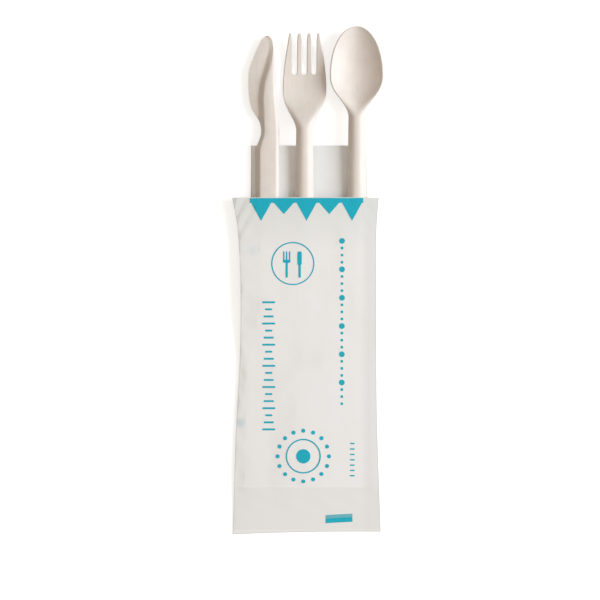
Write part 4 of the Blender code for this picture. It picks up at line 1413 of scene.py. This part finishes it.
class CUTLERY_OT_studio(bpy.types.Operator):
    """Add the camera above the set, the lamp on the right, the fill and the white table"""

    bl_idname = "cutlery.add_studio"
    bl_label = "Add Studio"

    def execute(self, context):
        studio, scene = settings().studio, context.scene
        camera = bpy.data.objects.new("camera_above", bpy.data.cameras.new("camera_above"))
        scene.collection.objects.link(camera)
        camera.location = (studio.centre_x, studio.centre_y, studio.height)
        camera.data.sensor_width = SENSOR_WIDTH
        seen_width = PICTURE_PIXELS * studio.metres_per_pixel
        camera.data.lens = SENSOR_WIDTH * studio.height / seen_width
        camera.data.clip_start = CLIP_START
        scene.camera = camera

        key = bpy.data.lights.new("key_right", "AREA")
        key.shape, key.size, key.size_y = "RECTANGLE", studio.key_width, studio.key_length
        key.energy, key.color = studio.key_power, studio.key_colour
        lamp = bpy.data.objects.new("key_right", key)
        scene.collection.objects.link(lamp)
        lamp.location = (studio.key_x, studio.key_y, studio.key_z)
        towards = Vector(KEY_AIM) - lamp.location
        lamp.rotation_euler = towards.to_track_quat("-Z", "Y").to_euler()

        world = bpy.data.worlds.new("studio_fill")
        world.use_nodes = True
        sky(world, tuple(studio.fill), tuple(studio.top_light))
        scene.world = world
        scene.view_settings.view_transform = "Standard"

        corners = TABLE_SIDE * np.array([(-1, -1), (1, -1), (1, 1), (-1, 1)])
        points = np.concatenate([corners, np.full((4, 1), -TABLE_DROP)], axis=1)
        table = linked("table_top", mesh_from("table_top", points, np.array([[0, 1, 2, 3]])))
        table.data.materials.append(table_top())
        return {"FINISHED"}


class CUTLERY_PT_panel(bpy.types.Panel):
    """Lists the set's pieces and its studio in the sidebar"""

    bl_idname = "CUTLERY_PT_panel"
    bl_label = "Takeaway Cutlery Set"
    bl_space_type = "VIEW_3D"
    bl_region_type = "UI"
    bl_category = "Cutlery"

    def draw(self, context):
        for operator in OPERATORS:
            self.layout.operator(operator.bl_idname)
        for group in ("cutlery", "spoon", "fork", "knife", "napkin", "pouch", "studio"):
            values = getattr(context.scene.cutlery_set, group)
            box = self.layout.box()
            box.label(text=group.capitalize())
            for name in values.bl_rna.properties.keys():
                if name not in ("rna_type", "name"):
                    box.prop(values, name)


OPERATORS = (
    CUTLERY_OT_studio, CUTLERY_OT_spoon, CUTLERY_OT_fork, CUTLERY_OT_knife, CUTLERY_OT_napkin,
    CUTLERY_OT_pouch,
)
CLASSES = (
    CutlerySettings, SpoonSettings, ForkSettings, KnifeSettings, NapkinSettings, PouchSettings,
    StudioSettings, CutlerySet, *OPERATORS, CUTLERY_PT_panel,
)


def register():
    for each in CLASSES:
        bpy.utils.register_class(each)
    bpy.types.Scene.cutlery_set = bpy.props.PointerProperty(type=CutlerySet)


def unregister():
    del bpy.types.Scene.cutlery_set
    for each in reversed(CLASSES):
        bpy.utils.unregister_class(each)


def main():
    register()
    bpy.ops.cutlery.add_studio()
    bpy.ops.cutlery.add_spoon()
    bpy.ops.cutlery.add_fork()
    bpy.ops.cutlery.add_knife()
    bpy.ops.cutlery.add_napkin()
    bpy.ops.cutlery.add_pouch()


if __name__ == "__main__":
    main()
